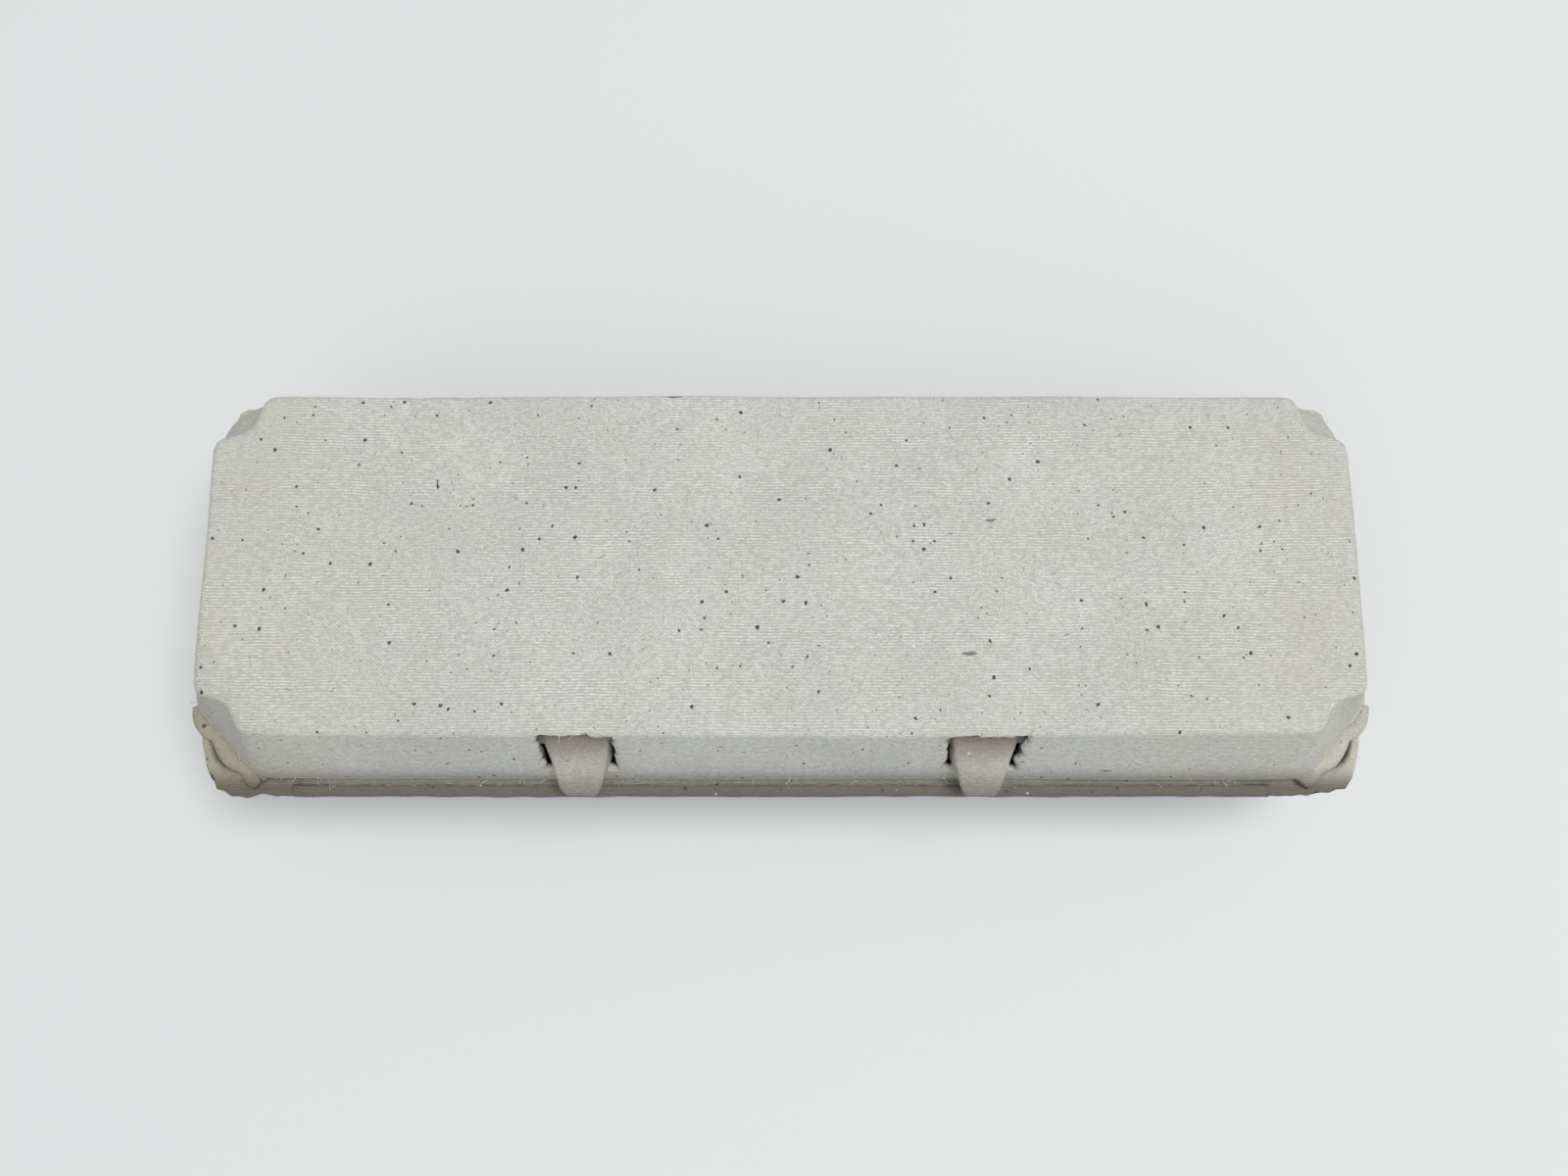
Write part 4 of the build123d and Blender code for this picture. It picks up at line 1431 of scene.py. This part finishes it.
def loose_fibre_tree() -> bpy.types.NodeTree:
    """Short bent fibres scattered over a surface and leaning off it."""
    inputs = [("Surface", "NodeSocketGeometry", None), ("Density", "NodeSocketFloat", 2000.0)]
    inputs += [("Length", "NodeSocketFloat", 0.003), ("Thickness", "NodeSocketFloat", 0.0001)]
    inputs += [("Lean", "NodeSocketFloat", 0.3), ("Seed", "NodeSocketInt", 1)]
    inputs.append(("Finish", "NodeSocketMaterial", None))
    tree, bench, given, result = geometry_tree("loose fibres", inputs)
    values = {
        "Mesh": given.outputs["Surface"], "Density": given.outputs["Density"], "Seed": given.outputs["Seed"]
    }
    spots = bench.add("GeometryNodeDistributePointsOnFaces", values)
    bend = bench.math("MULTIPLY", given.outputs["Length"], 0.28)
    middle = bench.add(
        "ShaderNodeCombineXYZ", {"X": bench.math("MULTIPLY", given.outputs["Length"], 0.5), "Y": bend}
    )
    end = bench.add("ShaderNodeCombineXYZ", {"X": given.outputs["Length"]})
    values = {"Resolution": 5, "Start": (0.0, 0.0, 0.0), "Middle": middle.outputs[0], "End": end.outputs[0]}
    arc = bench.add("GeometryNodeCurveQuadraticBezier", values).outputs[0]
    ring = bench.add(
        "GeometryNodeCurvePrimitiveCircle", {"Resolution": 4, "Radius": given.outputs["Thickness"]}
    )
    values = {"Curve": arc, "Profile Curve": ring.outputs[0], "Fill Caps": True}
    fibre = bench.add("GeometryNodeCurveToMesh", values).outputs[0]
    size = bench.add("FunctionNodeRandomValue", {"Seed": given.outputs["Seed"]}, data_type="FLOAT")
    size.inputs[2].default_value = 0.35
    size.inputs[3].default_value = 1.3
    around = bench.add("FunctionNodeRandomValue", data_type="FLOAT")
    around.inputs[3].default_value = 2 * math.pi
    tree.links.new(bench.math("ADD", given.outputs["Seed"], 7), around.inputs["Seed"])
    up = bench.add("FunctionNodeRandomValue", data_type="FLOAT")
    tree.links.new(given.outputs["Lean"], up.inputs[3])
    tree.links.new(bench.math("ADD", given.outputs["Seed"], 13), up.inputs["Seed"])
    tilt = bench.add(
        "ShaderNodeCombineXYZ", {"Y": bench.math("MULTIPLY", up.outputs[1], -1.0), "Z": around.outputs[1]}
    )
    own = bench.add("FunctionNodeEulerToRotation", {0: tilt.outputs[0]}).outputs[0]
    spin = bench.add("FunctionNodeRotateRotation", rotation_space="LOCAL")
    tree.links.new(spots.outputs["Rotation"], spin.inputs[0])
    tree.links.new(own, spin.inputs[1])
    placed = bench.add("GeometryNodeInstanceOnPoints", {"Points": spots.outputs["Points"], "Instance": fibre})
    tree.links.new(spin.outputs[0], placed.inputs["Rotation"])
    tree.links.new(size.outputs[1], placed.inputs["Scale"])
    real = bench.add("GeometryNodeRealizeInstances", {"Geometry": placed.outputs[0]}).outputs[0]
    dressed = bench.add("GeometryNodeSetMaterial", {"Geometry": real, "Material": given.outputs["Finish"]})
    tree.links.new(dressed.outputs[0], result.inputs["Geometry"])
    return tree


@dataclass
class FibreScatter:
    """Loose fibres on one piece, either all over or only along its raw edges."""

    name: str
    density: float
    length: float
    thickness: float
    lean: float
    seed: int
    edges_only: bool = False

    def build(
        self, source: bpy.types.Object, tree: bpy.types.NodeTree, finish: bpy.types.Material
    ) -> bpy.types.Object:
        """Scatters the fibres.

        Args:
            source: The piece that carries them.
            tree: The scattering tree.
            finish: The fibres' material.

        Returns:
            The fibres as one plain mesh object.
        """
        mesh = source.data.copy()
        if self.edges_only:
            self.keep_edges(mesh)
        carrier = bpy.data.objects.new(self.name, mesh)
        bpy.context.scene.collection.objects.link(carrier)
        modifier = carrier.modifiers.new("fibres", "NODES")
        modifier.node_group = tree
        values = {"Density": self.density, "Length": self.length * MM, "Thickness": self.thickness * MM}
        values.update({"Lean": self.lean, "Seed": self.seed, "Finish": finish})
        for label, value in values.items():
            set_input(modifier, label, value)
        return settle(carrier, self.name)

    def keep_edges(self, mesh: bpy.types.Mesh) -> None:
        """Leaves only the faces on the raw edges.

        Args:
            mesh: The mesh that loses its other faces.
        """
        raw = np.zeros(len(mesh.vertices), np.float32)
        mesh.attributes["raw_edge"].data.foreach_get("value", raw)
        places = np.array([v.co[:] for v in mesh.vertices])
        faces = [p.vertices[:] for p in mesh.polygons if min(raw[list(p.vertices)]) > 0.8]
        mesh.clear_geometry()
        mesh.from_pydata(places.tolist(), [], faces)
        mesh.update()


# ------------------------------------------------------------------ the carton


@dataclass
class EggCarton:
    """Builds the carton's pieces, dresses them and hangs them on their bodies."""

    groups: Groups = field(default_factory=Groups)

    def __post_init__(self) -> None:
        """Makes the finishes."""
        pale, deep, warm = (0.63, 0.635, 0.59, 1), (0.49, 0.495, 0.46, 1), (0.56, 0.54, 0.44, 1)
        self.lid_pulp = PulpFinish("lid pulp", pale, deep, warm).build(self.groups)
        tray_pale, tray_deep = (0.53, 0.52, 0.46, 1), (0.43, 0.42, 0.37, 1)
        self.tray_pulp = PulpFinish(
            "tray pulp", tray_pale, tray_deep, warm, imprint=0.045, corner_tint_and_shade=0.6, hollow_shade=0.3
        ).build(self.groups)
        # The flap takes the reddish tint and painted shade at the tops of its bosses.
        self.flap_pulp = PulpFinish(
            "flap pulp", tray_pale, tray_deep, warm, relief=0.2, rust=0.65
        ).build(self.groups)
        self.pale_fibre = FibreFinish("pale fibre", (0.75, 0.75, 0.7, 1)).build()
        self.dark_fibre = FibreFinish("dark fibre", (0.12, 0.1, 0.08, 1)).build()

    def finish(self, piece: bpy.types.Object, body: Body, material: bpy.types.Material, *nodes: str) -> None:
        """Dresses a piece, hides the plain pieces that it stands for and lets it ride.

        Args:
            piece: The finished mesh object.
            body: The panel that it moves with.
            material: Its finish, unless it has one already.
            nodes: The plain pieces that it stands for.
        """
        if not piece.data.materials:
            piece.data.materials.append(material)
        if nodes:
            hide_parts(*nodes)
        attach(piece, body.value)
        LOG.info("%s rides on %s, %d faces", piece.name, body.value, len(piece.data.polygons))

    def nodes(self, start: str) -> list[str]:
        """Names of the frame's pieces that start with a word."""
        return sorted(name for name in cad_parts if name.startswith(start))

    def build_tray(self) -> list[bpy.types.Object]:
        """The cup sheet, the posts and the corner lips."""
        tray = Tray()
        shell = tray.sheet()
        self.finish(shell, Body.TRAY, self.tray_pulp, *self.nodes("egg_cup"), *self.nodes("tray_"))
        pattern = tray.post()
        carrier = bpy.data.objects.new("posts", bpy.data.meshes.new("posts"))
        bpy.context.scene.collection.objects.link(carrier)
        modifier = carrier.modifiers.new("posts", "NODES")
        modifier.node_group = post_row_tree()
        values = {"Post": pattern, "Count": tray.columns - 1, "Spacing": tray.pitch * MM, "Seed": 4}
        values["Finish"] = self.tray_pulp
        for label, value in values.items():
            set_input(modifier, label, value)
        posts = settle(carrier, "posts")
        bpy.data.objects.remove(pattern)
        self.finish(posts, Body.TRAY, self.tray_pulp, *self.nodes("post_"))
        for side in (-1, 1):
            self.finish(tray.corner_lip(side), Body.TRAY, self.tray_pulp)
        return [shell, posts]

    def build_lid(self) -> bpy.types.Object:
        """The lid's sheet."""
        shell = Lid().sheet()
        nodes = [name for name in self.nodes("lid_") if name != "lid_hinge_fold"]
        self.finish(shell, Body.LID, self.lid_pulp, *nodes)
        return shell

    def build_flap(self) -> bpy.types.Object:
        """The flap and its bosses."""
        flap = Flap()
        shell = flap.sheet()
        self.finish(shell, Body.FLAP, self.flap_pulp, "lock_flap")
        for side, word in SIDES.items():
            self.finish(flap.boss(side), Body.FLAP, self.flap_pulp, f"latch_boss_{word}")
        return shell

    def build_folds(self) -> None:
        """The two fold rolls, each where the tray meets the panel that it carries; neither is hung on a body.
        """
        for name, toward, body in (("lid_hinge_fold", 1, Body.LID), ("flap_hinge_fold", -1, Body.FLAP)):
            fold = HingeFold(name.replace("hinge_fold", "fold_roll"), toward).sheet()
            fold.data.materials.append(self.tray_pulp)
            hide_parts(name)
            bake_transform(fold)
            LOG.info("%s bends between tray and %s", fold.name, body.value)

    def scatter_fibres(self, shells: dict[Body, bpy.types.Object]) -> None:
        """Loose fibres over the panels and along their raw edges.

        Args:
            shells: The sheet of each panel.
        """
        tree = loose_fibre_tree()
        for body, shell in shells.items():
            kinds = [
                (FibreScatter(f"{body.value}_edge_fibres", 150000, 1.5, 0.05, 1.2, 3, True), self.pale_fibre),
                (FibreScatter(f"{body.value}_pale_fibres", 2600, 1.9, 0.05, 0.35, 5), self.pale_fibre),
                (FibreScatter(f"{body.value}_dark_fibres", 900, 1.6, 0.045, 0.2, 9), self.dark_fibre),
            ]
            for scatter, material in kinds:
                self.finish(scatter.build(shell, tree, material), body, material)

    def build(self) -> None:
        """Builds everything in order."""
        tray = self.build_tray()[0]
        lid = self.build_lid()
        flap = self.build_flap()
        self.build_folds()
        self.scatter_fibres({Body.TRAY: tray, Body.LID: lid, Body.FLAP: flap})


# ------------------------------------------------------------------ studio


@dataclass
class Studio:
    """A pale floor, soft light and the camera above the lid."""

    camera_place: tuple[float, float, float] = (0.0008, -0.0603, 0.3643)
    camera_tilt: float = 10.7
    lens: float = 29.25

    def floor(self) -> None:
        """Lays the floor under the cups."""
        points = np.array([[-3000, -3000, 0], [3000, -3000, 0], [3000, 3000, 0], [-3000, 3000, 0]], float)
        plane = plain_mesh("floor", points, [(0, 1, 2, 3)])
        plane.data.materials.append(FloorFinish().build())

    def lamp(
        self, name: str, place: tuple, aim: tuple, size: float, power: float, tint: tuple = (1, 1, 1)
    ) -> None:
        """Hangs a square soft light.

        Args:
            name: The light's name.
            place: Where it hangs, in metres.
            aim: The point that it faces.
            size: Its width in metres.
            power: Its power in watts.
            tint: Its colour.
        """
        light = bpy.data.lights.new(name, "AREA")
        light.size = size
        light.energy = power
        light.color = tint
        obj = bpy.data.objects.new(name, light)
        obj.location = place
        obj.rotation_euler = (Vector(aim) - Vector(place)).to_track_quat("-Z", "Y").to_euler()
        bpy.context.scene.collection.objects.link(obj)

    def light(self) -> None:
        """Hangs the lights and sets the surrounding light."""
        self.lamp("window", (0.6, 0.04, 2.0), (0, 0, 0.03), 0.85, 25.6, (1.0, 0.995, 0.98))
        self.lamp("front fill", (-0.6, -1.0, 1.5), (0, 0, 0.05), 1.8, 5.4, (0.97, 0.98, 1.0))
        world = bpy.data.worlds.new("studio")
        world.use_nodes = True
        background = world.node_tree.nodes["Background"]
        background.inputs["Color"].default_value = (0.96, 0.98, 1.0, 1)
        background.inputs["Strength"].default_value = 0.44
        bpy.context.scene.world = world

    def camera(self) -> None:
        """Sets the camera above the lid, a little to the latch side and tilted towards the hinge."""
        data = bpy.data.cameras.new("camera")
        data.lens = self.lens
        data.sensor_width = 36.0
        data.clip_start = 0.01
        obj = bpy.data.objects.new("camera", data)
        obj.location = self.camera_place
        obj.rotation_euler = Euler((math.radians(self.camera_tilt), 0, 0))
        bpy.context.scene.collection.objects.link(obj)
        bpy.context.scene.camera = obj

    def build(self) -> None:
        """Sets up the floor, the lights and the camera."""
        self.floor()
        self.light()
        self.camera()
        bpy.context.scene.view_settings.view_transform = "Standard"


def main() -> None:
    """Builds the carton in its studio."""
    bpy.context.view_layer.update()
    EggCarton().build()
    Studio().build()


if __name__ == "__main__":
    main()
